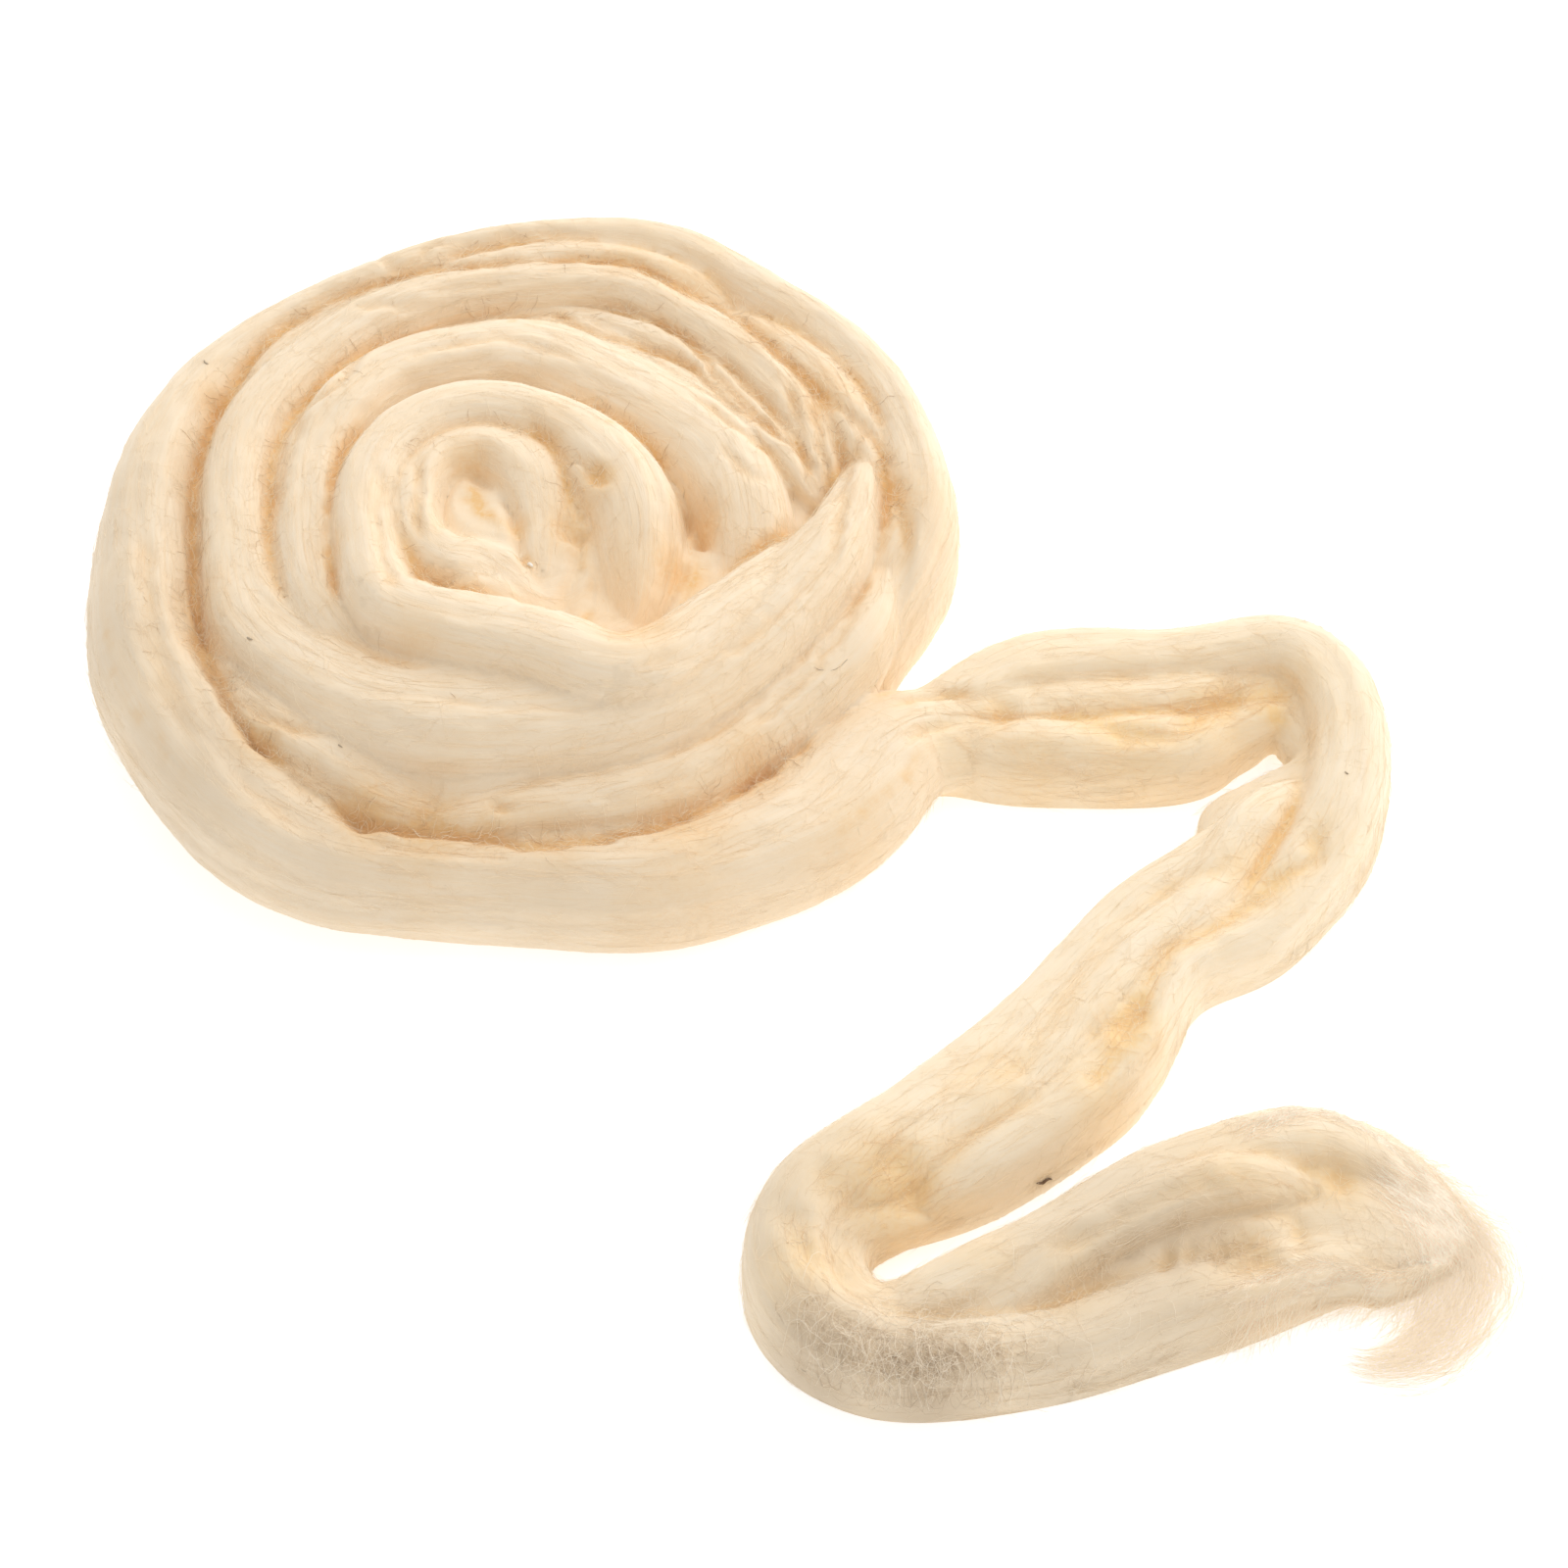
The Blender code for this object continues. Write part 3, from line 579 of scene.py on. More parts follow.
def ply_surface(rows, resting, rng):
    """Return a combed ply: its rows hold plan x, plan y, crest height and half width.

    A point is the route's, plus the section's share of the half width sideways and of the
    half height upwards, both drawn in at the ends by a quarter ellipse. Slow waves make
    the ply swell, sway and heave, and combed ridges stand out along its normals.
    """
    curve = smooth(rows, RING_STEP)
    along = distance_along(curve)
    x, y, crest, half = curve.T
    half = half * (1 + SWELL.share * wave(along, SWELL.stretch, rng))
    crest = crest + HEAVE.share * half * wave(along, HEAVE.stretch, rng)
    ahead = np.gradient(curve[:, :2], axis=0)
    ahead /= np.hypot(*ahead.T)[:, None]
    shift = SWAY.share * half * wave(along, SWAY.stretch, rng)
    x = x - ahead[:, 1] * shift
    y = y + ahead[:, 0] * shift
    reach = np.clip(np.minimum(along, along[-1] - along) / (NOSE_REACH * half), 0.0, 1.0)
    nose = np.maximum(np.sqrt(1.0 - (1.0 - reach) ** 2), NOSE_TIP)[:, None]
    foot = np.full_like(crest, -FOOT_DEPTH) if resting else crest - PLY_DEPTH * half
    crest = crest - NOSE_DIVE * half * (1.0 - reach) ** 2
    sides = round(SIDES_PER_HALF * half.max())
    sideways, upward, share = section(sides, RESTING_EXPONENT if resting else SECTION_EXPONENT)
    grid = np.stack((
        x[:, None] - ahead[:, 1:] * half[:, None] * nose * sideways,
        y[:, None] + ahead[:, :1] * half[:, None] * nose * sideways,
        (crest + foot)[:, None] / 2 + (crest - foot)[:, None] / 2 * nose * upward,
    ), axis=-1)
    normals = face_normals(grid)
    girth = SECTION_GIRTH * half.max()
    along, around = np.meshgrid(along, share, indexing="ij")
    size = np.minimum(half / COMB_FULL_HALF, 1.0)[:, None] * nose
    grid += normals * (size * combing(around, along, girth, rng))[..., None]
    return Ply(grid, normals, around * girth, along)


def bed_surface(rows, rng):
    """Return the loose end's bed as a combed ply that spans its two edges."""
    curve = smooth(rows, RING_STEP)
    left_x, left_y, right_x, right_y, height = curve.T[:, :, None]
    middle = np.column_stack(((left_x + right_x) / 2, (left_y + right_y) / 2))
    along = distance_along(middle)
    reach = np.minimum(along / NECK_END_REACH, (along[-1] - along) / FREE_END_REACH)
    nose = np.maximum(np.sqrt(1.0 - (1.0 - np.clip(reach, 0.0, 1.0)) ** 2), NOSE_TIP)[:, None]
    sideways, upward, share = section(BED_SIDES, RESTING_EXPONENT)
    grid = np.stack((
        (left_x + right_x) / 2 + (left_x - right_x) / 2 * sideways * nose,
        (left_y + right_y) / 2 + (left_y - right_y) / 2 * sideways * nose,
        (height - FOOT_DEPTH) / 2 + (height + FOOT_DEPTH) / 2 * upward * nose,
    ), axis=-1)
    normals = face_normals(grid)
    along, around = np.meshgrid(along, share, indexing="ij")
    combed = combing(around, along, BED_GIRTH, rng)
    grid += normals * (BED_COMB_SHARE * nose * combed)[..., None]
    return Ply(grid, normals, around * BED_GIRTH, along)


def filled(values):
    """Return a ply grid's values with more rings and sides mixed in between its own."""
    closed = np.concatenate((values, values[:, :1]), axis=1)
    rings = [
        closed[:-1] * (1 - share) + closed[1:] * share
        for share in np.linspace(0.0, 1.0, RELIEF_FILL, endpoint=False)
    ]
    return np.concatenate([
        part[:, :-1] * (1 - step) + part[:, 1:] * step for part in rings for step in (0.0, 0.5)
    ])


def cell_of(points):
    """Return the cell of the plan grid that each point is over."""
    return ((points[:, :2] - np.array(RELIEF_LOW)) / RELIEF_CELL).astype(int)


def relief_of(plies, rng):
    """Return how high the plies stand over the plan, the same blurred, and the topmost spots.

    Spots are laid on the plan grid from the lowest to the highest, so each cell keeps the
    topmost. A spot knows its place, its two directions and where it lies on the ply.
    """
    places, onwards, sidewayses, maps = [], [], [], []
    for number, ply in enumerate(plies):
        onward = np.gradient(ply.grid, axis=0)
        sideways = (np.roll(ply.grid, -1, axis=1) - np.roll(ply.grid, 1, axis=1)) / 2
        where = np.stack((ply.along, ply.around + number * PLY_MAP_GAP), axis=-1)
        for values, held in (
            (ply.grid, places), (onward, onwards), (sideways, sidewayses), (where, maps),
        ):
            held.append(filled(values).reshape(-1, values.shape[-1]))
    places, onwards, sidewayses, maps = map(np.concatenate, (places, onwards, sidewayses, maps))
    cells = np.round((np.array(RELIEF_HIGH) - np.array(RELIEF_LOW)) / RELIEF_CELL).astype(int)
    cell = np.clip(cell_of(places), 0, cells - 1)
    order = np.argsort(places[:, 2])
    topmost = np.full(cells, -1)
    topmost[cell[order, 0], cell[order, 1]] = order
    heights = np.where(topmost >= 0, np.maximum(places[topmost, 2], 0.0), 0.0)
    for _ in range(MAP_GROWTH):
        for axis in (0, 1):
            for step in (1, -1):
                topmost = np.where(topmost < 0, np.roll(topmost, step, axis=axis), topmost)
    spots = Spots(topmost, places, unit(onwards), unit(sidewayses), maps)
    pressed = pressing_of(heights, rng)
    # Spots of painted glow and shade, cast from the camera's frame onto the plan.
    golden = frame_to_plan(heights, [spot[:2] for spot in GLOW_AND_SHADE_SPOTS])
    return Relief(heights, None, blurred(heights, SOFTER_BLUR), pressed, None, golden, spots)


def frame_to_plan(heights, spots):
    """Return where the camera's rays through spots of its frame first meet the roving.

    Each ray is followed down in even steps of height to its first point that isn't above
    the relief.
    """
    tilt = math.radians(CAMERA_ELEVATION)
    back = np.array((0.0, -math.cos(tilt), math.sin(tilt)))
    upward = np.array((0.0, math.sin(tilt), math.cos(tilt)))
    eye = (np.array(CAMERA_TARGET) + CAMERA_DISTANCE * back) / MM
    offset = np.array(spots, dtype=float) - FRAME_SIDE / 2
    offset = offset * CAMERA_SENSOR / (FRAME_SIDE * CAMERA_LENS)
    rays = offset[:, :1] * np.array((1.0, 0.0, 0.0)) - offset[:, 1:] * upward - back
    levels = np.arange(RAY_TOP, -RAY_STEP, -RAY_STEP)
    points = eye + rays[:, None] * ((levels - eye[2]) / rays[:, 2:])[..., None]
    met = points[..., 2] <= height_at(heights, points)
    met[:, -1] = True
    return points[np.arange(len(points)), met.argmax(axis=1)]


def pressing_of(heights, rng):
    """Return how deep the creases are pressed into the plan.

    A crease is d (exp(-(r / w)^2) - l exp(-((r - p w) / w)^2)), where r is the distance from
    its route, w its half width, d its depth, and l and p give its lips. The depth eases to
    nothing at both ends, and a smooth random field shifts the places, so edges are ragged.
    """
    pressed = np.zeros_like(heights)
    low = np.array(RELIEF_LOW)
    rag_x, rag_y = (soft_noise(heights.shape, RAG_REACH, RAG_SHIFT, rng) for _ in range(2))
    for crease in CREASES:
        route = smooth(frame_to_plan(heights, crease.spots)[:, :2], CREASE_STEP)
        place = np.arange(len(route))
        ramp = min(CREASE_RAMP, (len(route) - 1) / 2)
        fade = ease(np.minimum(np.minimum(place, place[::-1]) / ramp, 1.0))
        margin = (LIP_PLACE + CREASE_MARGIN) * crease.width
        first = ((route.min(axis=0) - margin - low) / RELIEF_CELL).astype(int)
        last = ((route.max(axis=0) + margin - low) / RELIEF_CELL).astype(int)
        first, last = np.maximum(first, 0), np.minimum(last, heights.shape)
        x = low[0] + (np.arange(first[0], last[0]) + 0.5) * RELIEF_CELL
        y = low[1] + (np.arange(first[1], last[1]) + 0.5) * RELIEF_CELL
        block = np.s_[first[0]:last[0], first[1]:last[1]]
        x = x[:, None, None] + rag_x[block][..., None]
        y = y[None, :, None] + rag_y[block][..., None]
        away = np.hypot(x - route[:, 0], y - route[:, 1])
        depth = crease.depth * fade[away.argmin(axis=2)]
        wide = away.min(axis=2) / crease.width
        shape = np.exp(-wide**2) - LIP_SHARE * np.exp(-((wide - LIP_PLACE) ** 2))
        pressed[block] += depth * shape
    return pressed


def soft_noise(shape, reach, size, rng):
    """Return a plan grid of smooth random values: white noise blurred, at a standard size."""
    values = blurred(rng.normal(0.0, 1.0, shape), reach)
    return values * size / values.std()


def skin_relief(relief, points):
    """Return the relief with the heights and the valleys of the finished skin, which set its painted
    crease shade.

    Points are laid on the plan from the lowest to the highest, and empty cells take the
    highest cell beside them. A valley is how far a cell lies under the lower of two cells on
    opposite sides of it, the most of four directions, added up over a few reaches.
    """
    shape = relief.heights.shape
    cell = cell_of(points)
    order = np.argsort(points[:, 2])
    heights = np.zeros(shape)
    heights[cell[order, 0], cell[order, 1]] = points[order, 2]
    for _ in range(SKIN_FILLS):
        beside = [np.roll(heights, step, axis=axis) for axis in (0, 1) for step in (1, -1)]
        mean = np.sum(beside, axis=0) / np.maximum(np.count_nonzero(beside, axis=0), 1)
        heights = np.where((heights == 0.0) & (relief.heights > COVER_LEAST), mean, heights)
    heights = blurred(heights, SKIN_BLUR)
    slope = np.hypot(*np.gradient(blurred(heights, SLOPE_BLUR), RELIEF_CELL))
    valley = np.zeros(shape)
    for reach, gain in zip(VALLEY_REACHES, VALLEY_GAINS):
        step, slant = round(reach / RELIEF_CELL), round(DIAGONAL * reach / RELIEF_CELL)
        deepest = np.zeros(shape)
        for shift in ((step, 0), (0, step), (slant, slant), (slant, -slant)):
            behind = np.roll(heights, shift, axis=(0, 1))
            ahead = np.roll(heights, (-shift[0], -shift[1]), axis=(0, 1))
            deepest = np.maximum(deepest, np.minimum(behind, ahead) - heights)
        valley += gain * np.maximum(deepest - VALLEY_LEAST, 0.0)
    valley += PRESSED_GAIN * np.maximum(relief.pressed, 0.0)
    flat = np.clip(VALLEY_STEEP - slope, 0.0, 1.0)
    valley = np.clip(valley, 0.0, 1.0) * flat * (heights > VALLEY_LOW)
    valley = blurred(valley, SKIN_BLUR) + VALLEY_WIDE * blurred(valley, VALLEY_SPREAD)
    return relief._replace(heights=heights, soft=blurred(heights, SOFT_BLUR), valley=valley)


def unit(vectors):
    """Return vectors of length one."""
    return vectors / np.maximum(np.linalg.norm(vectors, axis=-1, keepdims=True), 1e-9)


def map_at(relief, points):
    """Return where points lie along and round the topmost ply there, and how far below it.

    A point's place on the map is its nearest spot's, plus its offset from that spot along
    each of the spot's two directions.
    """
    spots = relief.spots
    cell = cell_of(points)
    near = spots.topmost[cell[:, 0], cell[:, 1]]
    offset = points - spots.places[near]
    along = np.einsum("ij,ij->i", offset, spots.onward[near])
    around = np.einsum("ij,ij->i", offset, spots.sideways[near])
    return spots.maps[near] + np.stack((along, around), axis=-1)


def blurred(heights, radius):
    """Return a plan grid blurred by a bell of that radius, worked out on its frequencies."""
    x = np.fft.fftfreq(heights.shape[0], RELIEF_CELL)[:, None]
    y = np.fft.rfftfreq(heights.shape[1], RELIEF_CELL)[None, :]
    bell = np.exp(-2 * (math.pi * radius) ** 2 * (x * x + y * y))
    return np.fft.irfft2(np.fft.rfft2(heights) * bell, heights.shape)


def height_at(heights, spots):
    """Return a plan grid's values at spots, mixed from the four nearest cells."""
    place = (spots[..., :2] - np.array(RELIEF_LOW)) / RELIEF_CELL - 0.5
    place = np.clip(place, 0, np.array(heights.shape) - LAST_CELL)
    cell = np.floor(place).astype(int)
    tx, ty = np.moveaxis(place - cell, -1, 0)
    i, j = np.moveaxis(cell, -1, 0)
    return mixed(heights, (i, i + 1), (j, j + 1), tx, ty)


def bells_at(points, bells):
    """Return the most of a few bells at points: each is its share times exp(-(r / reach)^2)."""
    most = np.zeros(len(points))
    for x, y, reach, share in bells:
        away = np.hypot(points[:, 0] - x, points[:, 1] - y) / reach
        most = np.maximum(most, share * np.exp(-away**2))
    return most


def painted_shading_at(relief, points):
    """Return from 0 to 1 how much painted shade and glow points get: by the creases, and the warm and pale
    bells.
    """
    bells = [(x, y, reach, share) for (x, y, _), (_, _, reach, share) in zip(relief.golden, GLOW_AND_SHADE_SPOTS)]
    golden = bells_at(points, bells)
    pale = bells_at(points, [(x, y, reach, -share) for x, y, reach, share in bells])
    return np.clip(height_at(relief.valley, points) + golden - pale, 0.0, 1.0)


def is_open(relief, points, normals):
    """Return which points face the open air: a little way out they clear the relief."""
    out = points + OPEN_REACH * normals
    return out[..., 2] > height_at(relief.heights, out) - OPEN_SLACK


def tube(grid):
    """Return a grid's corners and faces: quads that close round it, and a fan at both ends."""
    rings, sides = grid.shape[:2]
    tips = grid[[0, -1]].mean(axis=1)
    verts = np.vstack((grid.reshape(-1, 3), tips))
    ring, side = np.meshgrid(np.arange(rings - 1), np.arange(sides), indexing="ij")
    onward = (side + 1) % sides
    quads = np.stack((
        ring * sides + side,
        ring * sides + onward,
        (ring + 1) * sides + onward,
        (ring + 1) * sides + side,
    ), axis=-1).reshape(-1, 4)
    side = np.arange(sides)
    first = np.stack((side, np.full(sides, rings * sides), (side + 1) % sides), axis=-1)
    last = np.stack((side, (side + 1) % sides, np.full(sides, rings * sides + 1)), axis=-1)
    last[:, :2] += (rings - 1) * sides
    return verts, (quads, first, last)


def tubes_object(name, tubes):
    """Return an object that holds every tube."""
    verts, faces, first = [], [], 0
    for corners, parts in tubes:
        verts.append(corners)
        faces += [face for part in parts for face in (part + first).tolist()]
        first += len(corners)
    mesh = bpy.data.meshes.new(name)
    mesh.from_pydata((np.vstack(verts) * MM).tolist(), [], faces)
    item = bpy.data.objects.new(name, mesh)
    bpy.context.scene.collection.objects.link(item)
    return item


def heart_tube():
    """Return the heart's corners and faces: its rings, closed with a fan above and below."""
    turn = np.linspace(0.0, 2 * math.pi, HEART_SIDES, endpoint=False)
    plan = np.stack((np.cos(turn), np.sin(turn)), axis=-1)
    grid = np.stack([
        np.column_stack((row.radius * plan, np.full(HEART_SIDES, row.height))) for row in HEART
    ])
    verts, faces = tube(grid)
    return verts, [part[:, ::-1] for part in faces]


def mesh_after(item, modifiers):
    """Return an object's mesh after modifiers, given as kinds and settings, and drop the object."""
    for kind, settings in modifiers:
        modifier = item.modifiers.new(kind.lower(), kind)
        for name, value in settings.items():
            setattr(modifier, name, value)
    graph = bpy.context.evaluated_depsgraph_get()
    mesh = bpy.data.meshes.new_from_object(item.evaluated_get(graph))
    raw = item.data
    bpy.data.objects.remove(item)
    bpy.data.meshes.remove(raw)
    return mesh


def melted(tubes, floor, relief, rng):
    """Return the skin of tubes that are melted together, cut flat below and creased.

    Points deeper than the crease limit are raised by a share of the rest, and the pressed
    creases are sunk, both by how far a point faces up.
    """
    mesh = mesh_after(tubes_object("plies", tubes), (
        ("REMESH", {"mode": "VOXEL", "voxel_size": MELT_SIZE * MM}),
        ("SMOOTH", {"iterations": SOFTEN_ROUNDS}),
        ("BOOLEAN", {"operation": "DIFFERENCE", "object": floor}),
    ))
    points, normals = points_of(mesh)
    deeper = height_at(relief.softer, points) - points[:, 2] - CREASE_LIMIT
    shift = CREASE_RAISE * np.maximum(deeper, 0.0) - height_at(relief.pressed, points)
    shift *= np.maximum(normals[:, 2], 0.0)
    moved = points[:, 2] > 2 * REST_HEIGHT
    tufted = points + normals * tufting(map_at(relief, points), rng)[:, None]
    tufted[:, 2] = np.maximum(tufted[:, 2] + shift, 2 * REST_HEIGHT)
    points = np.where(moved[:, None], tufted, points)
    mesh.vertices.foreach_set("co", (points * MM).ravel())
    mesh.update()
    return mesh, points


def tufting(places, rng):
    """Return how far tufts stand out at places along and round the wool.

    A tuft's field is eased between draws on a lattice of its stretch and width, and sharpened.
    """
    total = np.zeros(len(places))
    for tuft in TUFTS:
        draws = rng.uniform(-1.0, 1.0, (TUFT_TABLE, TUFT_TABLE))
        spot = places / (tuft.stretch, tuft.width)
        cell = np.floor(spot).astype(int)
        t = ease(spot - cell)
        (i, j), (k, m) = (cell % TUFT_TABLE).T, ((cell + 1) % TUFT_TABLE).T
        total += sharpened(mixed(draws, (i, k), (j, m), t[:, 0], t[:, 1]), tuft)
    return total


def prism(name, outline, low, high):
    """Return an upright prism over a plan outline that is given anticlockwise."""
    count = len(outline)
    corners = [(x * MM, y * MM, z * MM) for z in (low, high) for x, y in outline]
    sides = [(i, (i + 1) % count, count + (i + 1) % count, count + i) for i in range(count)]
    caps = [tuple(range(count))[::-1], tuple(range(count, 2 * count))]
    mesh = bpy.data.meshes.new(name)
    mesh.from_pydata(corners, [], sides + caps)
    return bpy.data.objects.new(name, mesh)


def points_of(mesh):
    """Return a mesh's points in millimetres, and their normals."""
    points = np.empty(3 * len(mesh.vertices))
    normals = np.empty(3 * len(mesh.vertices))
    mesh.vertices.foreach_get("co", points)
    mesh.vertex_normals.foreach_get("vector", normals)
    return points.reshape(-1, 3) / MM, normals.reshape(-1, 3)


def skin(name, whole, operation, loose_side, relief, material):
    """Return a piece: the part of the whole skin on one side of the neck."""
    item = bpy.data.objects.new(name + "_whole", whole.copy())
    bpy.context.scene.collection.objects.link(item)
    mesh = mesh_after(item, (("BOOLEAN", {"operation": operation, "object": loose_side}),))
    mesh.name = name
    mesh.materials.clear()
    mesh.polygons.foreach_set("use_smooth", np.ones(len(mesh.polygons), dtype=bool))
    mesh.set_sharp_from_angle(angle=math.radians(SHARP_EDGE))
    points, _ = points_of(mesh)
    # Painted shade and glow in the creases, and greyer wool with painted shade on one side.
    fill_value(mesh, "crevice", painted_shading_at(relief, points))
    fill_value(mesh, "smudge", grey_and_shade_at(points))
    fill_map(mesh, map_at(relief, points))
    return new_piece(name, mesh, material)


def grey_and_shade_at(points):
    """Return from 0 to 1 how grey the wool is at points: greyer wool, and painted shade on the left front
    of the outer turn.
    """
    return bells_at(points, GREY_AND_SHADE_SPOTS)


def fill_map(mesh, values):
    """Give each point of a mesh its place along and round its ply, in metres."""
    layer = mesh.attributes.new("combed", "FLOAT_VECTOR", "POINT")
    layer.data.foreach_set("vector", (np.pad(values, ((0, 0), (0, 1))) * MM).ravel())


def fill_value(mesh, name, values):
    """Give each point of a mesh one named number."""
    layer = mesh.attributes.new(name, "FLOAT", "POINT")
    layer.data.foreach_set("value", values.astype(np.float32))


def new_piece(name, mesh, material):
    """Return a new object of the roving that rides on its one body."""
    mesh.materials.append(material)
    piece = bpy.data.objects.new(name, mesh)
    bpy.context.scene.collection.objects.link(piece)
    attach(piece, "root")
    return piece


# Loose hair. A kind of hair has its number, its shortest and longest length, how far its
# middle and its far end lift off, how far it drifts across the ply, and its radius.
Hair = namedtuple("Hair", "count shortest longest arch lift drift radius")

BUN_COMBED = Hair(2800, 9.0, 28.0, 0.3, 0.0, 1.8, 0.032)
BUN_FLYAWAY = Hair(4000, 3.0, 9.0, 0.5, 2.2, 4.0, 0.034)
TAIL_COMBED = Hair(2200, 8.0, 24.0, 0.3, 0.0, 2.2, 0.032)
TAIL_FLYAWAY = Hair(3200, 3.0, 9.0, 0.5, 2.4, 4.5, 0.034)
HAIR_POINTS = 6
STRAY_POINTS = 8
HAIR_SIDES = 3
HAIR_SINK = 0.12            # how far the tips of combed hair are tucked under the surface
HAIR_RIPPLE = 0.5
HAIR_WAVES = (0.5, 1.6)     # least and most waves along a combed hair
HAIR_BASE = 0.06            # how far combed hair stands off the surface
HAIR_TRIES = 5
HAIR_LEAN = (0.04, 0.03, 1.0)
OPEN_REACH = 3.0            # how far out a spot of a ply has to clear the relief, and its slack
OPEN_SLACK = 0.2
DRAPE_FROM = 0.3            # how far up a ply faces where hair starts to lie on the skin
DRAPE_SPAN = 0.35
DRAPE_LIMIT = 0.4
COMBED_THICKNESS = (0.6, 1.2)
STRAY_THICKNESS = (0.6, 1.3)
END_THICKNESS = (0.5, 1.2)

# Strays lie across the plies: number, lengths, curl in turns for each millimetre, lift
# and radius.
Stray = namedtuple("Stray", "count shortest longest curl lift radius")
BUN_STRAYS = Stray(1600, 4.0, 15.0, 0.03, 0.7, 0.022)
TAIL_STRAYS = Stray(900, 4.0, 13.0, 0.04, 0.9, 0.022)
MAT_LIGHT = Stray(900, 5.0, 15.0, 0.06, 3.2, 0.04)
MAT_DARK = Stray(360, 4.0, 12.0, 0.06, 2.0, 0.03)
BUN_CREASE_HAIRS = Stray(2400, 2.0, 7.0, 0.05, 0.5, 0.042)
TAIL_CREASE_HAIRS = Stray(800, 2.0, 7.0, 0.05, 0.6, 0.038)
# Short dark hairs along the creases are painted shade.
CREASE_SHADE_HAIRS = Stray(700, 1.5, 5.0, 0.02, 0.3, 0.036)
# The matted patch on the near fold in the camera's frame: its middle and its reach.
MAT_MIDDLE = (926.0, 1408.0)
MAT_REACH = (78.0, 32.0)
# The parts of the plan over which strays are laid, each by its low and its high corner.
BUN_PLAN = ((-95, -97), (96, 96))
TAIL_PLAN = ((50, -210), (200, -8))
STRAY_LEAST_HEIGHT = 4.0
STRAY_TRIES = 4             # places tried for each hair that lies on the wool, in the mat,
MAT_TRIES = 2               # and along creases
CREASE_TRIES = 60
STRAY_WOBBLE = 0.35
STRAY_WAVES = 1.5
STRAY_BASE = 0.05
STRAY_SINK = 0.15           # how far strays may lie under the skin's own height
CREASE_LEAST = 0.16         # how deep a crease has to be for hair, and for the most of it
CREASE_SPAN = 0.5

# The frayed end: the edge that its hairs leave, clockwise, with its height; and the hairs.
Edge = namedtuple("Edge", "x y z")
FRAYED_EDGE = table(
    Edge, (140, -150, 9), (150, -145, 9), (161, -141, 9), (173, -144, 8), (184, -151, 6),
    (191, -162, 5), (191, -172, 4), (184, -179, 4), (175, -183, 4), (166, -184, 4), (156, -185, 5),
    (146, -190, 5),
)
Fringe = namedtuple("Fringe", "count shortest longest inset leave curl radius")
FRAYED_HAIRS = Fringe(2500, 5.0, 15.0, 7.0, (2.0, 58.0), 0.012, 0.042)
FRAYED_STEP = 1.0
FRAYED_INSET_POWER = 0.7
FRAYED_SHORTER = (0.5, 1.0)
FRAYED_TURN = -0.4          # mean curl, in curls
FRAYED_WOBBLE = 0.2
FRAYED_WOOL = 0.6           # height at which hairs start as a share of the edge's
FRAYED_LOW = (0.3, 2.4)     # heights at which they end
FRAYED_FALL = 0.8
END_CLEAR = 0.1             # least height of the end's hairs above the wool and the surface
END_REST = 0.3
CURL_HAIRS = 2300
# The swoosh of loose wool at the end, in the camera's frame: right, down, and its half width
# in millimetres.
CURL_GUIDE = (
    (1385, 1180, 5.0), (1450, 1222, 8.0), (1490, 1270, 9.5), (1500, 1312, 9.0), (1480, 1356, 7.5),
    (1442, 1386, 6.0), (1400, 1396, 4.0), (1365, 1388, 3.0),
)
CURL_RISE = 3.5
CURL_REACHES = (0.12, 0.45)     # lengths of its hairs as a share of the guide
CURL_SPREAD = 0.6               # how far hairs lie across the half width, and how slanted
CURL_SLANT = 0.5
CURL_WOBBLE = 0.07
CURL_WAVES = 1.4


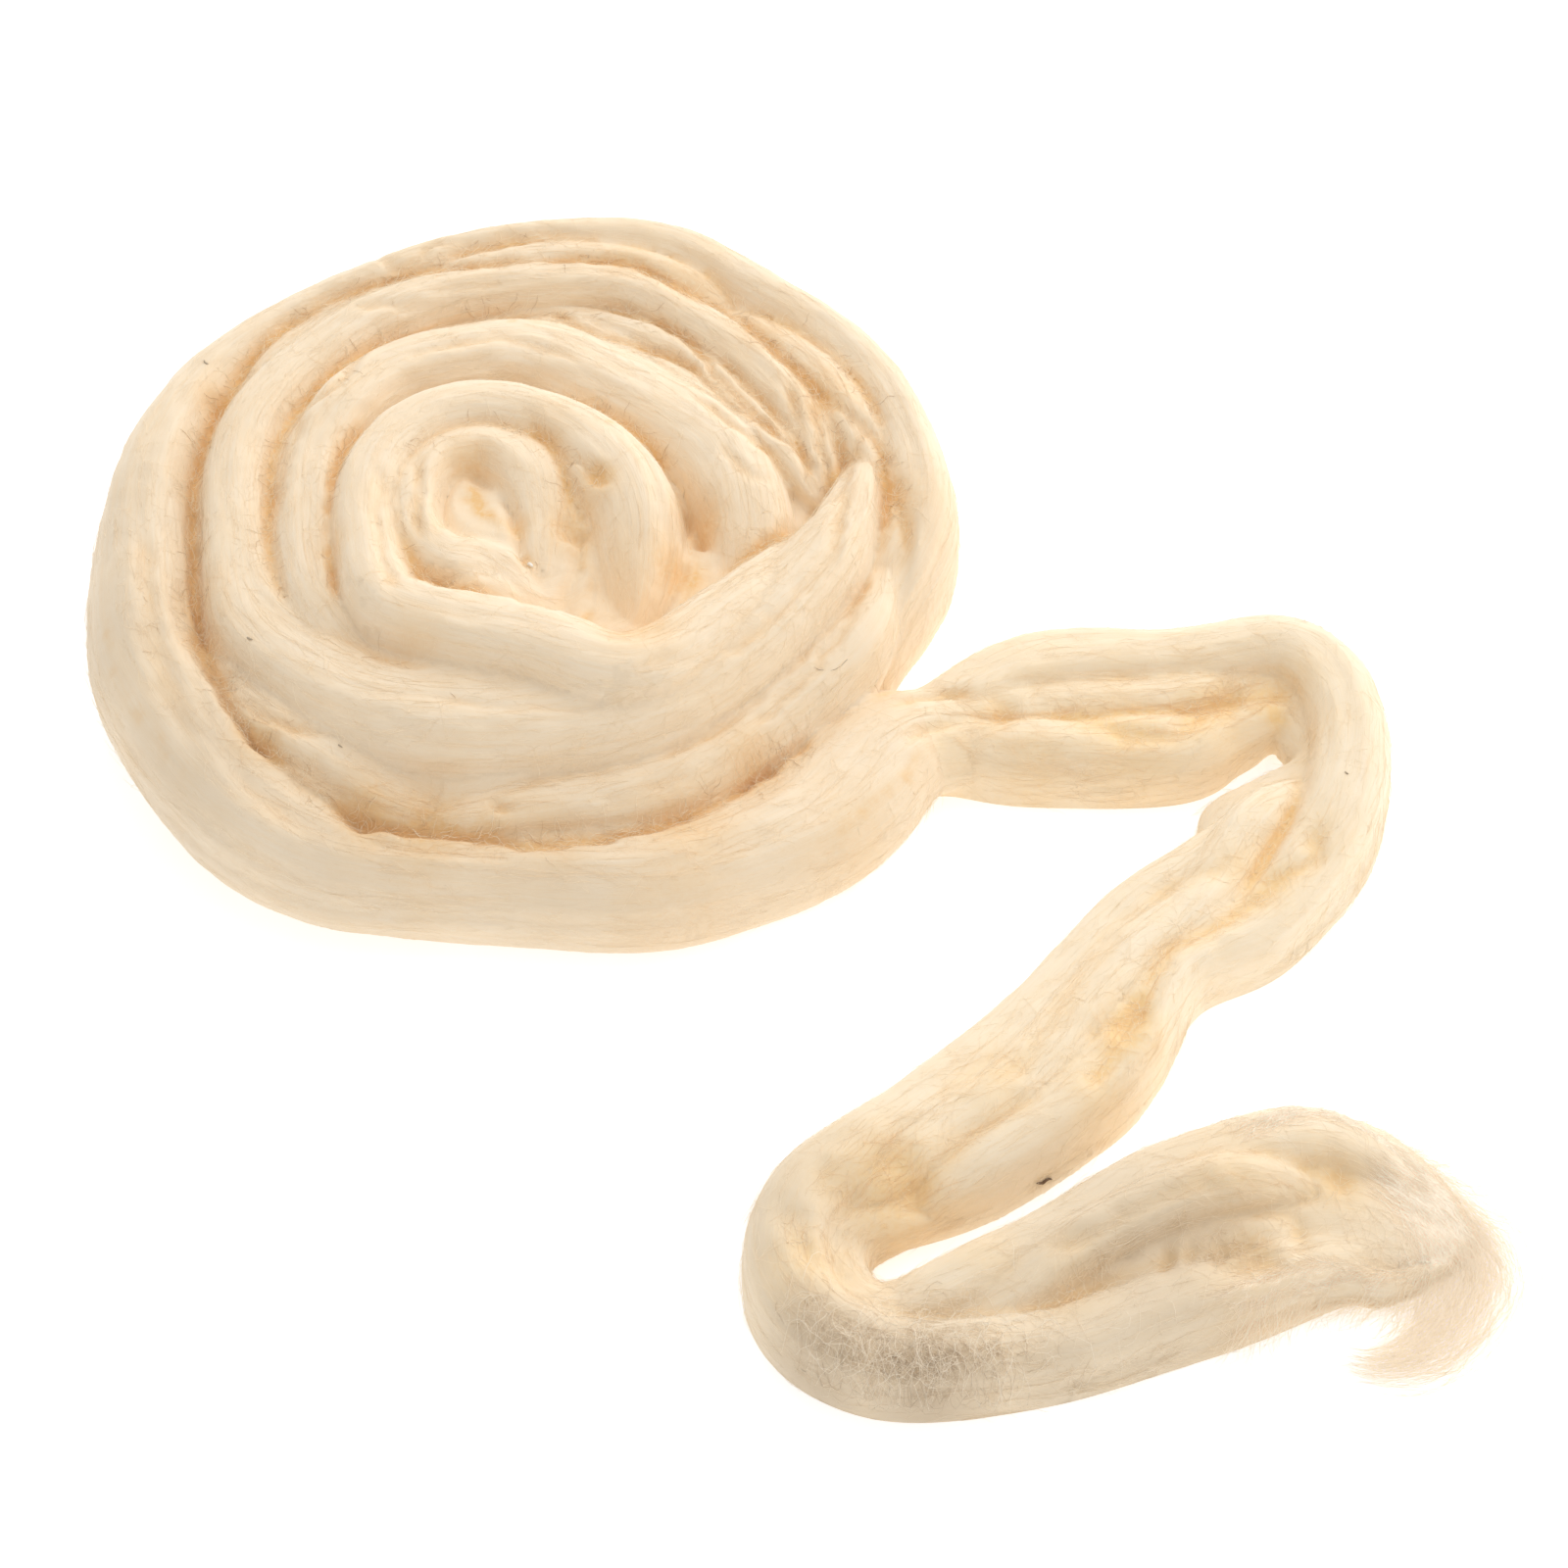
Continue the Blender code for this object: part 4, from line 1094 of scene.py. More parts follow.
def hair_mesh(name, paths, radii, relief, material):
    """Return a piece of many hairs: thin tubes along paths, closed to a point at both ends.

    A hair's radius is its own times the fourth root of the sine of its share of the path.
    """
    count, points = paths.shape[:2]
    ahead = np.gradient(paths, axis=1)
    ahead /= np.maximum(np.linalg.norm(ahead, axis=-1, keepdims=True), 1e-9)
    side = np.cross(ahead, HAIR_LEAN)
    side /= np.maximum(np.linalg.norm(side, axis=-1, keepdims=True), 1e-9)
    over = np.cross(side, ahead)
    turn = np.linspace(0.0, 2 * math.pi, HAIR_SIDES, endpoint=False)
    share = np.linspace(0.0, 1.0, points)[1:-1]
    width = radii[:, None] * np.sin(math.pi * share) ** 0.25
    rings = paths[:, 1:-1, None] + width[..., None, None] * (
        np.cos(turn)[:, None] * side[:, 1:-1, None] + np.sin(turn)[:, None] * over[:, 1:-1, None]
    )
    inner = (points - 2) * HAIR_SIDES
    verts = np.concatenate((rings.reshape(count, inner, 3), paths[:, [0, -1]]), axis=1)
    verts[..., 2] = np.maximum(verts[..., 2], REST_HEIGHT)
    faces = []
    for i in range(HAIR_SIDES):
        after = (i + 1) % HAIR_SIDES
        faces.append((i, inner, after))
        faces.append((inner - HAIR_SIDES + i, inner - HAIR_SIDES + after, inner + 1))
        for ring in range(points - 3):
            near, far = ring * HAIR_SIDES, (ring + 1) * HAIR_SIDES
            faces.append((near + i, near + after, far + after, far + i))
    each = verts.shape[1]
    triangles = np.array([face for face in faces if len(face) == 3])
    quads = np.array([face for face in faces if len(face) == 4])
    shift = (np.arange(count) * each)[:, None, None]
    lists = (triangles + shift).reshape(-1, 3).tolist() + (quads + shift).reshape(-1, 4).tolist()
    mesh = bpy.data.meshes.new(name)
    mesh.from_pydata((verts.reshape(-1, 3) * MM).tolist(), [], lists)
    mesh.polygons.foreach_set("use_smooth", np.ones(len(mesh.polygons), dtype=bool))
    middle = paths[:, points // 2]
    # The hairs take the painted shade and glow of the creases, and the grey and painted shade, at their
    # middles.
    fill_value(mesh, "crevice", np.repeat(painted_shading_at(relief, middle), each))
    fill_value(mesh, "smudge", np.repeat(grey_and_shade_at(middle), each))
    return new_piece(name, mesh, material)


def on_ply(values, ring, side):
    """Return a ply grid's values at fractional rings and sides, mixed from the nearest four."""
    sides = values.shape[1]
    ring = np.clip(ring, 0, values.shape[0] - LAST_CELL)
    i, j = np.floor(ring).astype(int), np.floor(side).astype(int)
    ti, tj = (ring - i)[..., None], (side - j)[..., None]
    return mixed(values, (i, i + 1), (j % sides, (j + 1) % sides), ti, tj)


def combed_paths(ply, relief, kind, count, rng):
    """Return hairs that follow a ply where it is open to the air.

    A hair runs along the ply and drifts across it. It stands off the surface by its arch
    times the cosine of its share, less a little at its tips, and by its lift times the
    square of its share.
    """
    tries = count * HAIR_TRIES
    rings, sides = ply.grid.shape[:2]
    pace = np.linalg.norm(ply.grid[:, 1:] - ply.grid[:, :-1], axis=-1).mean()
    t = np.linspace(-0.5, 0.5, HAIR_POINTS)
    length = rng.uniform(kind.shortest, kind.longest, (tries, 1))
    ring = rng.uniform(0, rings - 1, (tries, 1)) + length / RING_STEP * t
    drift = rng.normal(0.0, kind.drift, (tries, 1)) * t
    waves = t * rng.uniform(*HAIR_WAVES, (tries, 1))
    ripple = HAIR_RIPPLE * np.sin(2 * math.pi * (waves + rng.random((tries, 1))))
    side = rng.uniform(0, sides, (tries, 1)) + (drift + ripple) / pace
    spots = on_ply(ply.grid, ring, side)
    normals = on_ply(ply.normals, ring, side)
    arch = kind.arch * rng.random((tries, 1)) * np.cos(math.pi * t)
    lift = kind.lift * rng.random((tries, 1)) ** 2 * (t + 0.5) ** 2
    stand = arch - HAIR_SINK * np.abs(2 * t) ** 2 + HAIR_BASE + lift
    paths = draped(spots + normals * stand[..., None], normals, stand, relief)
    open_air = is_open(relief, spots, normals)
    inside = (ring[:, 0] > 0) & (ring[:, -1] < rings - 1)
    half = HAIR_POINTS // 2
    good = inside & open_air[:, half - 1] & open_air[:, half]
    good &= open_air.sum(axis=1) >= HAIR_POINTS - 1
    return paths[good][:count]


def draped(paths, normals, stand, relief):
    """Return paths laid on the finished skin by how far their ply faces up there."""
    upward = ease(np.clip((normals[..., 2] - DRAPE_FROM) / DRAPE_SPAN, 0.0, 1.0))
    on_skin = height_at(relief.heights, paths) + stand / np.maximum(normals[..., 2], DRAPE_LIMIT)
    paths[..., 2] += upward * (on_skin - paths[..., 2])
    return paths


def combed_hair(name, plies, relief, kind, material, rng):
    """Return a piece of hairs that follow plies, shared out by how large the plies are."""
    sizes = np.array([ply.grid.shape[0] * ply.grid.shape[1] for ply in plies], dtype=float)
    counts = np.round(kind.count * sizes / sizes.sum()).astype(int)
    paths = np.concatenate([
        combed_paths(ply, relief, kind, count, rng) for ply, count in zip(plies, counts)
    ])
    radii = kind.radius * rng.uniform(*COMBED_THICKNESS, len(paths))
    return hair_mesh(name, paths, radii, relief, material)


def stray_starts(low, high, count, relief, rng):
    """Return plan places over a rectangle, where the roving is there."""
    start = rng.uniform(low, high, (count * STRAY_TRIES, 2))
    return start[height_at(relief.heights, start) > STRAY_LEAST_HEIGHT][:count]


def mat_starts(relief, count, rng):
    """Return plan places in the matted patch: a bell round its middle, cast on the wool."""
    seen = MAT_MIDDLE + rng.normal(0.0, 1.0, (count * MAT_TRIES, 2)) * MAT_REACH
    spots = frame_to_plan(relief.heights, seen)
    return spots[spots[:, 2] > STRAY_LEAST_HEIGHT][:count, :2]


def crease_starts(low, high, count, relief, rng):
    """Return plan places over a rectangle along creases, more of them the deeper these are."""
    start = rng.uniform(low, high, (count * CREASE_TRIES, 2))
    deep = height_at(relief.valley, start)
    return start[deep > CREASE_LEAST + rng.random(len(start)) * CREASE_SPAN][:count]


def stray_hair(name, start, relief, kind, material, rng):
    """Return a piece of short curled hairs that lie across the plies and bridge their creases.

    A stray's heading turns evenly with a wobble, and it stands off the softened relief, along
    the relief's normal, by a low arch.
    """
    count = len(start)
    t = np.linspace(0.0, 1.0, STRAY_POINTS)
    length = rng.uniform(kind.shortest, kind.longest, (count, 1))
    turns = rng.normal(0.0, kind.curl, (count, 1)) * length
    heading = 2 * math.pi * (rng.random((count, 1)) + turns * t)
    heading += STRAY_WOBBLE * np.sin(2 * math.pi * (STRAY_WAVES * t + rng.random((count, 1))))
    step = length / (STRAY_POINTS - 1)
    x = start[:, :1] + np.cumsum(np.cos(heading) * step, axis=1)
    y = start[:, 1:] + np.cumsum(np.sin(heading) * step, axis=1)
    spots = np.stack((x, y), axis=-1)
    stand = STRAY_BASE + kind.lift * rng.random((count, 1)) ** 2 * np.sin(math.pi * t)
    z = np.maximum(height_at(relief.soft, spots), height_at(relief.heights, spots) - STRAY_SINK)
    on_wool = height_at(relief.heights, spots).min(axis=1) > STRAY_LEAST_HEIGHT / 2
    slope = np.stack([
        (height_at(relief.soft, spots + step) - height_at(relief.soft, spots - step)) / 2
        for step in ((1.0, 0.0), (0.0, 1.0))
    ], axis=-1)
    steep = np.sqrt(1.0 + (slope**2).sum(axis=-1))
    spots = spots - slope * (stand / steep)[..., None]
    paths = np.concatenate((spots, (z + stand / steep)[..., None]), axis=-1)[on_wool]
    radii = kind.radius * rng.uniform(*STRAY_THICKNESS, len(paths))
    return hair_mesh(name, paths, radii, relief, material)


def fringe_hair(name, relief, material, rng):
    """Return the hairs of the frayed end, which leave its edge and turn along it.

    A hair starts a little inside the edge. Its heading is the edge's, turned outwards by
    its own angle and then evenly by its curl, and it sinks from the wool to the surface.
    """
    kind = FRAYED_HAIRS
    each = (kind.count, 1)
    edge = smooth(FRAYED_EDGE, FRAYED_STEP)
    heading = np.unwrap(np.arctan2(*np.gradient(edge[:, :2], axis=0).T[::-1]))
    share = rng.random(each) * (len(edge) - 1)
    place = np.arange(len(edge))
    x, y, z = (np.interp(share, place, column) for column in edge.T)
    onward = np.interp(share, place, heading)
    inset = kind.inset * rng.random(each) ** FRAYED_INSET_POWER
    x = x + np.sin(onward) * inset
    y = y - np.cos(onward) * inset
    length = rng.uniform(kind.shortest, kind.longest, each)
    length = length * rng.uniform(*FRAYED_SHORTER, each)
    leave = np.radians(rng.uniform(*kind.leave, each))
    t = np.linspace(0.0, 1.0, STRAY_POINTS)
    turning = rng.normal(FRAYED_TURN, 1.0, each) * 2 * math.pi * kind.curl * length
    wobble = FRAYED_WOBBLE * np.sin(2 * math.pi * (t + rng.random(each)))
    angle = onward + leave + turning * t + wobble
    step = length / (STRAY_POINTS - 1)
    x = x + np.cumsum(np.cos(angle) * step, axis=1)
    y = y + np.cumsum(np.sin(angle) * step, axis=1)
    wool = height_at(relief.heights, np.stack((x, y), axis=-1))
    start = np.maximum(wool[:, :1], FRAYED_WOOL * z)
    low = rng.uniform(*FRAYED_LOW, each)
    z = start + END_REST + (low - start) * t**FRAYED_FALL
    paths = np.stack((x, y, np.maximum(z, wool + END_CLEAR)), axis=-1)
    radii = kind.radius * rng.uniform(*END_THICKNESS, kind.count)
    return hair_mesh(name, paths, radii, relief, material)


def curl_hair(name, relief, material, rng):
    """Return the swoosh at the end: hairs that run along a guide and cross its width.

    A hair keeps its share of the half width, less a drift, and lies under a low dome.
    """
    guide = np.array(CURL_GUIDE)
    route = frame_to_plan(relief.heights, guide[:, :2])
    route[:, 2] = guide[:, 2]
    route = smooth(route, FRAYED_STEP)
    ahead = unit(np.gradient(route[:, :2], axis=0))
    each = (CURL_HAIRS, 1)
    middle = rng.random(each)
    reach = rng.uniform(*CURL_REACHES, each)
    t = np.linspace(-0.5, 0.5, STRAY_POINTS)
    share = (middle + reach * t) * (len(route) - 1)
    place = np.arange(len(route))
    columns = np.concatenate((route, ahead), axis=1).T
    x, y, half, ahead_x, ahead_y = (np.interp(share, place, column) for column in columns)
    off = rng.normal(0.0, CURL_SPREAD, each) + rng.normal(0.0, CURL_SLANT, each) * t
    off = off + CURL_WOBBLE * np.sin(2 * math.pi * (CURL_WAVES * t + rng.random(each)))
    spots = np.stack((x - ahead_y * off * half, y + ahead_x * off * half), axis=-1)
    dome = CURL_RISE * rng.random(each) * np.maximum(1.0 - off * off, 0.0)
    z = np.maximum(height_at(relief.heights, spots) + END_CLEAR, END_REST + dome)
    paths = np.concatenate((spots, z[..., None]), axis=-1)
    paths = paths[(share[:, 0] > 0.0) & (share[:, -1] < len(route) - 1)]
    radii = FRAYED_HAIRS.radius * rng.uniform(*END_THICKNESS, len(paths))
    return hair_mesh(name, paths, radii, relief, material)


# Bits caught in the wool: radius in millimetres, and spots in the camera's frame.
Bit = namedtuple("Bit", "name radius spots")
BITS = table(
    Bit,
    ("seed_by_fold", 0.32, ((1057, 1212), (1064, 1211), (1074, 1208))),
    ("dark_hair", 0.07, ((830, 680), (838, 684), (850, 685), (863, 676), (874, 665))),
    ("fleck_far_left", 0.22, ((208, 368), (210, 371), (213, 373))),
    ("fleck_left", 0.25, ((252, 651), (255, 653), (258, 654))),
    ("fleck_near_left", 0.18, ((345, 760), (347, 762), (350, 763))),
    ("fleck_right", 0.2, ((1372, 788), (1374, 790), (1376, 791))),
    ("bright_fleck", 0.45, ((538, 576), (541, 578), (544, 580))),
    ("fibre_right", 0.05, ((1400, 1148), (1403, 1154), (1410, 1158), (1413, 1166))),
)
BIT_FAINT = (0.52, 0.42, 0.30)
BIT_DARK = (0.20, 0.13, 0.08)
BIT_COLOURS = {
    "bright_fleck": (0.98, 0.95, 0.88), "seed_by_fold": BIT_DARK, "dark_hair": (0.36, 0.27, 0.18),
}
BIT_POINTS = 10
BIT_RISE = 0.6              # height of a bit's middle above the wool, in its radii
TAIL_FROM = 1000            # how far right in the camera's frame the loose end starts


def caught_bit(bit, relief):
    """Return a seed, fleck or dark hair that lies on the wool along its spots."""
    spots = frame_to_plan(relief.heights, bit.spots)
    path = spline(spots, np.linspace(0.0, len(spots) - 1.0, BIT_POINTS))
    path[:, 2] = height_at(relief.heights, path) + BIT_RISE * bit.radius
    colour = BIT_COLOURS.get(bit.name, BIT_FAINT)
    material = hair_material(bit.name, colour, colour, colour)
    return hair_mesh(bit.name, path[None], np.array([bit.radius]), relief, material)


# Finishes.
BUN_BODY = (0.952, 0.758, 0.524)
BUN_LIGHT = (0.978, 0.857, 0.688)
# The shade tints are painted shade and glow: the warm colour for creases and for light that comes through
# the wool.
BUN_SHADE_TINT = (0.890, 0.580, 0.270)
TAIL_BODY = (0.968, 0.794, 0.560)
TAIL_LIGHT = (0.975, 0.860, 0.690)
TAIL_SHADE_TINT = (0.955, 0.680, 0.350)
# Greyer wool, and painted shade on the left front of the outer turn.
GREY_WOOL_AND_SHADE = (0.640, 0.510, 0.360)
HAIR_COLOUR = (0.970, 0.835, 0.630)
END_COLOUR = (0.975, 0.860, 0.700)
LOOSE_GLOW = 0.07           # glow in place of the light that comes through thin hairs
END_GLOW = 0.15
# Greyer hair, and painted shade on the left front of the outer turn.
GREY_HAIR_AND_SHADE = (0.840, 0.720, 0.560)
MAT_COLOUR = (0.930, 0.820, 0.660)
MAT_SHADE = (0.640, 0.500, 0.350)
# Colour of the dark hairs laid along creases as painted shade.
CREASE_SHADE = (0.620, 0.420, 0.240)
PLAIN_HAIRS = (
    ("end_hair", END_COLOUR, END_GLOW), ("matted_hair", MAT_COLOUR, LOOSE_GLOW),
    ("matted_shade", MAT_SHADE, 0.0), ("crease_shade", CREASE_SHADE, 0.0),
)
FLOOR_TONE = 0.72

# How fine the wool is drawn: waves in a metre each way (along, round and through it, or along
# x, y and z), how many finer layers they have, and how strong these are.
Grain = namedtuple("Grain", "waves detail roughness")
LOCKS = Grain((42.0, 620.0, 1.0), 2.0, 0.5)
FIBRES = Grain((85.0, 2400.0, 1.0), 2.0, 0.5)
MARK_LINES = Grain((330.0, 3000.0, 1.0), 1.0, 0.5)
FRIZZ = Grain((900.0, 900.0, 900.0), 3.0, 0.6)
PATCHES = Grain((110.0, 110.0, 110.0), 3.0, 0.5)

# How a noise becomes a share: its gain, and what is added.
MARK_RANGE = (7.0, -4.55)
RAG_RANGE = (1.6, 0.2)
LIT_RANGE = (3.2, -1.25)
PATCH_RANGE = (2.0, -0.6)
RAG_LEAST = 0.2
LOCKS_SHARE = 0.55          # of locks in the streaks, and the rest is fibres
FRIZZ_HEIGHT = 0.3
LIT_SHARE = 0.5
PATCH_SHARE = 0.35
MARK_SHARE = 0.5
BUMP_STRENGTH = 0.3
BUMP_DEPTH = 0.0004
VALUE, COLOUR = "NodeSocketFloat", "NodeSocketColor"


def add_node(tree, kind, settings=None, **inputs):
    """Return a new node with its settings, and its inputs set or linked by name.

    An input that is given as n and a number is counted from 0.
    """
    item = tree.nodes.new(kind)
    for name, value in (settings or {}).items():
        setattr(item, name, value)
    for name, value in inputs.items():
        numbered = name[0] == "n" and name[1:].isdigit()
        socket = item.inputs[int(name[1:]) if numbered else name.replace("_", " ")]
        if isinstance(value, bpy.types.NodeSocket):
            tree.links.new(value, socket)
        else:
            socket.default_value = value
    return item


def new_group(name, inputs, outputs):
    """Return a shader group with inputs and outputs, given as names and kinds, and its ends."""
    group = bpy.data.node_groups.new(name, "ShaderNodeTree")
    for way, sockets in (("INPUT", inputs), ("OUTPUT", outputs)):
        for title, kind in sockets.items():
            group.interface.new_socket(title, in_out=way, socket_type=kind)
    return group, group.nodes.new("NodeGroupInput").outputs, group.nodes.new("NodeGroupOutput").inputs


def attribute(tree, name, output="Fac"):
    """Return the output of a new node that reads a named attribute."""
    return add_node(tree, "ShaderNodeAttribute", {"attribute_name": name}).outputs[output]


def new_material(name):
    """Return a new material, its nodes and its shader."""
    material = bpy.data.materials.new(name)
    material.use_nodes = True
    return material, material.node_tree, material.node_tree.nodes["Principled BSDF"]


def noise_on(tree, place, grain):
    """Return a noise's plain output over places that are stretched by a Mapping node."""
    mapped = add_node(tree, "ShaderNodeMapping", Vector=place, Scale=grain.waves)
    return add_node(
        tree, "ShaderNodeTexNoise", Vector=mapped.outputs["Vector"], Scale=1.0,
        Detail=grain.detail, Roughness=grain.roughness,
    ).outputs["Fac"]


def math_on(tree, operation, first, second=0.0, third=0.0, clamp=False):
    """Return the result of a Math node."""
    settings = {"operation": operation, "use_clamp": clamp}
    return add_node(tree, "ShaderNodeMath", settings, n0=first, n1=second, n2=third).outputs[0]


def mix_colours(tree, share, first, second):
    """Return a mix of two colours."""
    item = add_node(tree, "ShaderNodeMix", {"data_type": "RGBA"}, n0=share, n6=first, n7=second)
    return item.outputs[2]


def streaks_group():
    """Return the group that draws combed wool: long thin streaks along the map, and a frizz."""
    titles = ("Streaks", "Height", "Patches", "Marks", "Rag")
    group, _, stop = new_group("combed_streaks", {}, dict.fromkeys(titles, VALUE))
    along = attribute(group, "combed", "Vector")
    place = add_node(group, "ShaderNodeTexCoord").outputs["Object"]
    locks = noise_on(group, along, LOCKS)
    fibres = noise_on(group, along, FIBRES)
    frizz = noise_on(group, place, FRIZZ)
    patches = noise_on(group, place, PATCHES)
    lines = noise_on(group, along, MARK_LINES)
    marks = math_on(group, "MULTIPLY_ADD", lines, *MARK_RANGE, clamp=True)
    rag = math_on(group, "MAXIMUM", math_on(group, "MULTIPLY_ADD", frizz, *RAG_RANGE), RAG_LEAST)
    thin = math_on(group, "MULTIPLY", fibres, 1.0 - LOCKS_SHARE)
    both = math_on(group, "MULTIPLY_ADD", locks, LOCKS_SHARE, thin)
    height = math_on(group, "MULTIPLY_ADD", frizz, FRIZZ_HEIGHT, both)
    for title, value in zip(titles, (both, height, patches, marks, rag)):
        group.links.new(value, stop[title])
    return group


def tone_group():
    """Return the group that colours wool: lighter on streaks, towards the tint of painted shade and glow
    in creases, and greyer where the wool is greyer or painted shaded.
    """
    values = dict.fromkeys(("Streaks", "Patches", "Crevice", "Smudge", "Marks", "Rag"), VALUE)
    colours = dict.fromkeys(("Body", "Light", "Deep", "Grey"), COLOUR)
    group, start, stop = new_group("wool_tone", values | colours, {"Colour": COLOUR})
    lit = math_on(group, "MULTIPLY_ADD", start["Streaks"], *LIT_RANGE, clamp=True)
    patch = math_on(group, "MULTIPLY_ADD", start["Patches"], *PATCH_RANGE, clamp=True)
    share = math_on(group, "MULTIPLY", lit, LIT_SHARE)
    share = math_on(group, "MULTIPLY_ADD", patch, PATCH_SHARE, share, clamp=True)
    colour = mix_colours(group, share, start["Body"], start["Light"])
    ragged = math_on(group, "MULTIPLY", start["Crevice"], start["Rag"])
    sunk = math_on(group, "MULTIPLY_ADD", start["Marks"], MARK_SHARE, ragged, clamp=True)
    colour = mix_colours(group, sunk, colour, start["Deep"])
    colour = mix_colours(group, start["Smudge"], colour, start["Grey"])
    group.links.new(colour, stop["Colour"])
    return group


def wool_material(name, body, light, deep, groups):
    """Return a combed wool finish: dull, with fine streaks, painted crease shade and glow, and a soft
    sheen.
    """
    streaks_tree, tone_tree = groups
    material, tree, shader = new_material(name)
    streaks = add_node(tree, "ShaderNodeGroup", {"node_tree": streaks_tree}).outputs
    drawn = {title: streaks[title] for title in ("Streaks", "Patches", "Marks", "Rag")}
    tone = add_node(
        tree, "ShaderNodeGroup", {"node_tree": tone_tree}, **drawn,
        Crevice=attribute(tree, "crevice"), Smudge=attribute(tree, "smudge"),
        Body=(*body, 1.0), Light=(*light, 1.0), Deep=(*deep, 1.0), Grey=(*GREY_WOOL_AND_SHADE, 1.0),
    )
    bump = add_node(
        tree, "ShaderNodeBump", Height=streaks["Height"], Strength=BUMP_STRENGTH, Distance=BUMP_DEPTH,
    )
    tree.links.new(tone.outputs["Colour"], shader.inputs["Base Color"])
    tree.links.new(bump.outputs["Normal"], shader.inputs["Normal"])
    shader.inputs["Roughness"].default_value = 0.9
    shader.inputs["Specular IOR Level"].default_value = 0.2
    shader.inputs["Sheen Weight"].default_value = 0.35
    shader.inputs["Sheen Roughness"].default_value = 0.5
    shader.inputs["Sheen Tint"].default_value = (1.0, 0.96, 0.88, 1.0)
    return material


def hair_material(name, colour, deep, grey, glow=0.0):
    """Return the finish of loose hair: plain wool colour, with painted shade in creases and greyer where
    the wool is greyer or painted shaded, with a faint glow.
    """
    material, tree, shader = new_material(name)
    tinted = mix_colours(tree, attribute(tree, "crevice"), (*colour, 1.0), (*deep, 1.0))
    tinted = mix_colours(tree, attribute(tree, "smudge"), tinted, (*grey, 1.0))
    tree.links.new(tinted, shader.inputs["Base Color"])
    shader.inputs["Roughness"].default_value = 0.6
    shader.inputs["Specular IOR Level"].default_value = 0.3
    shader.inputs["Emission Color"].default_value = (*colour, 1.0)
    shader.inputs["Emission Strength"].default_value = glow
    return material


def finishes():
    """Return every finish of the wool by its name."""
    groups = (streaks_group(), tone_group())
    made = [
        wool_material("bun_combed_wool", BUN_BODY, BUN_LIGHT, BUN_SHADE_TINT, groups),
        wool_material("tail_combed_wool", TAIL_BODY, TAIL_LIGHT, TAIL_SHADE_TINT, groups),
        hair_material("loose_hair", HAIR_COLOUR, BUN_SHADE_TINT, GREY_HAIR_AND_SHADE, LOOSE_GLOW),
        hair_material("crease_hair", HAIR_COLOUR, HAIR_COLOUR, GREY_HAIR_AND_SHADE, LOOSE_GLOW),
    ]
    for name, colour, glow in PLAIN_HAIRS:
        made.append(hair_material(name, colour, colour, colour, glow))
    return {material.name: material for material in made}


def floor_material():
    """Return the floor's finish: matt white that glows a little, as over a light table."""
    material, _, shader = new_material("white_floor")
    shader.inputs["Base Color"].default_value = (FLOOR_TONE, FLOOR_TONE, FLOOR_TONE, 1.0)
    shader.inputs["Roughness"].default_value = 0.9
    shader.inputs["Emission Color"].default_value = (1.0, 1.0, 1.0, 1.0)
    shader.inputs["Emission Strength"].default_value = FLOOR_GLOW
    return material


def square_of(reach):
    """Return the corners of a square round the origin, anticlockwise."""
    return (-reach, -reach), (reach, -reach), (reach, reach), (-reach, reach)


def lay_floor():
    """Lay the plain floor that the roving rests on."""
    corners = [(x, y, 0.0) for x, y in square_of(FLOOR_SIDE / 2)]
    mesh = bpy.data.meshes.new("floor")
    mesh.from_pydata(corners, [], [(0, 1, 2, 3)])
    mesh.materials.append(floor_material())
    floor = bpy.data.objects.new("floor", mesh)
    bpy.context.scene.collection.objects.link(floor)


def set_light():
    """Set the soft sky: white all round, and brighter above and behind the roving.

    Its strength is the low one, plus the rest times how far a direction leans towards the
    bright side, to the power of the focus.
    """
    world = bpy.data.worlds.new("studio")
    world.use_nodes = True
    tree = world.node_tree
    sky = tree.nodes["Background"]
    place = add_node(tree, "ShaderNodeTexCoord").outputs["Generated"]
    bright = Vector(SKY_BRIGHT_SIDE).normalized()
    lean = add_node(tree, "ShaderNodeVectorMath", {"operation": "DOT_PRODUCT"}, n0=place, n1=bright)
    lean = math_on(tree, "MAXIMUM", lean.outputs["Value"], 0.0)
    lean = math_on(tree, "POWER", lean, SKY_FOCUS)
    strength = math_on(tree, "MULTIPLY_ADD", lean, SKY_HIGH - SKY_LOW, SKY_LOW)
    tree.links.new(strength, sky.inputs["Strength"])
    sky.inputs["Color"].default_value = (1.0, 1.0, 1.0, 1.0)
    scene = bpy.context.scene
    scene.world = world
    scene.view_settings.view_transform = "Standard"


def set_camera():
    """Set the camera in front of the roving, above it and looking down at its middle."""
    tilt = math.radians(CAMERA_ELEVATION)
    back = Vector((0.0, -math.cos(tilt), math.sin(tilt)))
    lens = bpy.data.cameras.new("camera")
    lens.lens = CAMERA_LENS
    lens.sensor_width = CAMERA_SENSOR
    camera = bpy.data.objects.new("camera", lens)
    camera.location = Vector(CAMERA_TARGET) + CAMERA_DISTANCE * back
    camera.rotation_euler = (-back).to_track_quat("-Z", "Y").to_euler()
    scene = bpy.context.scene
    scene.collection.objects.link(camera)
    scene.camera = camera


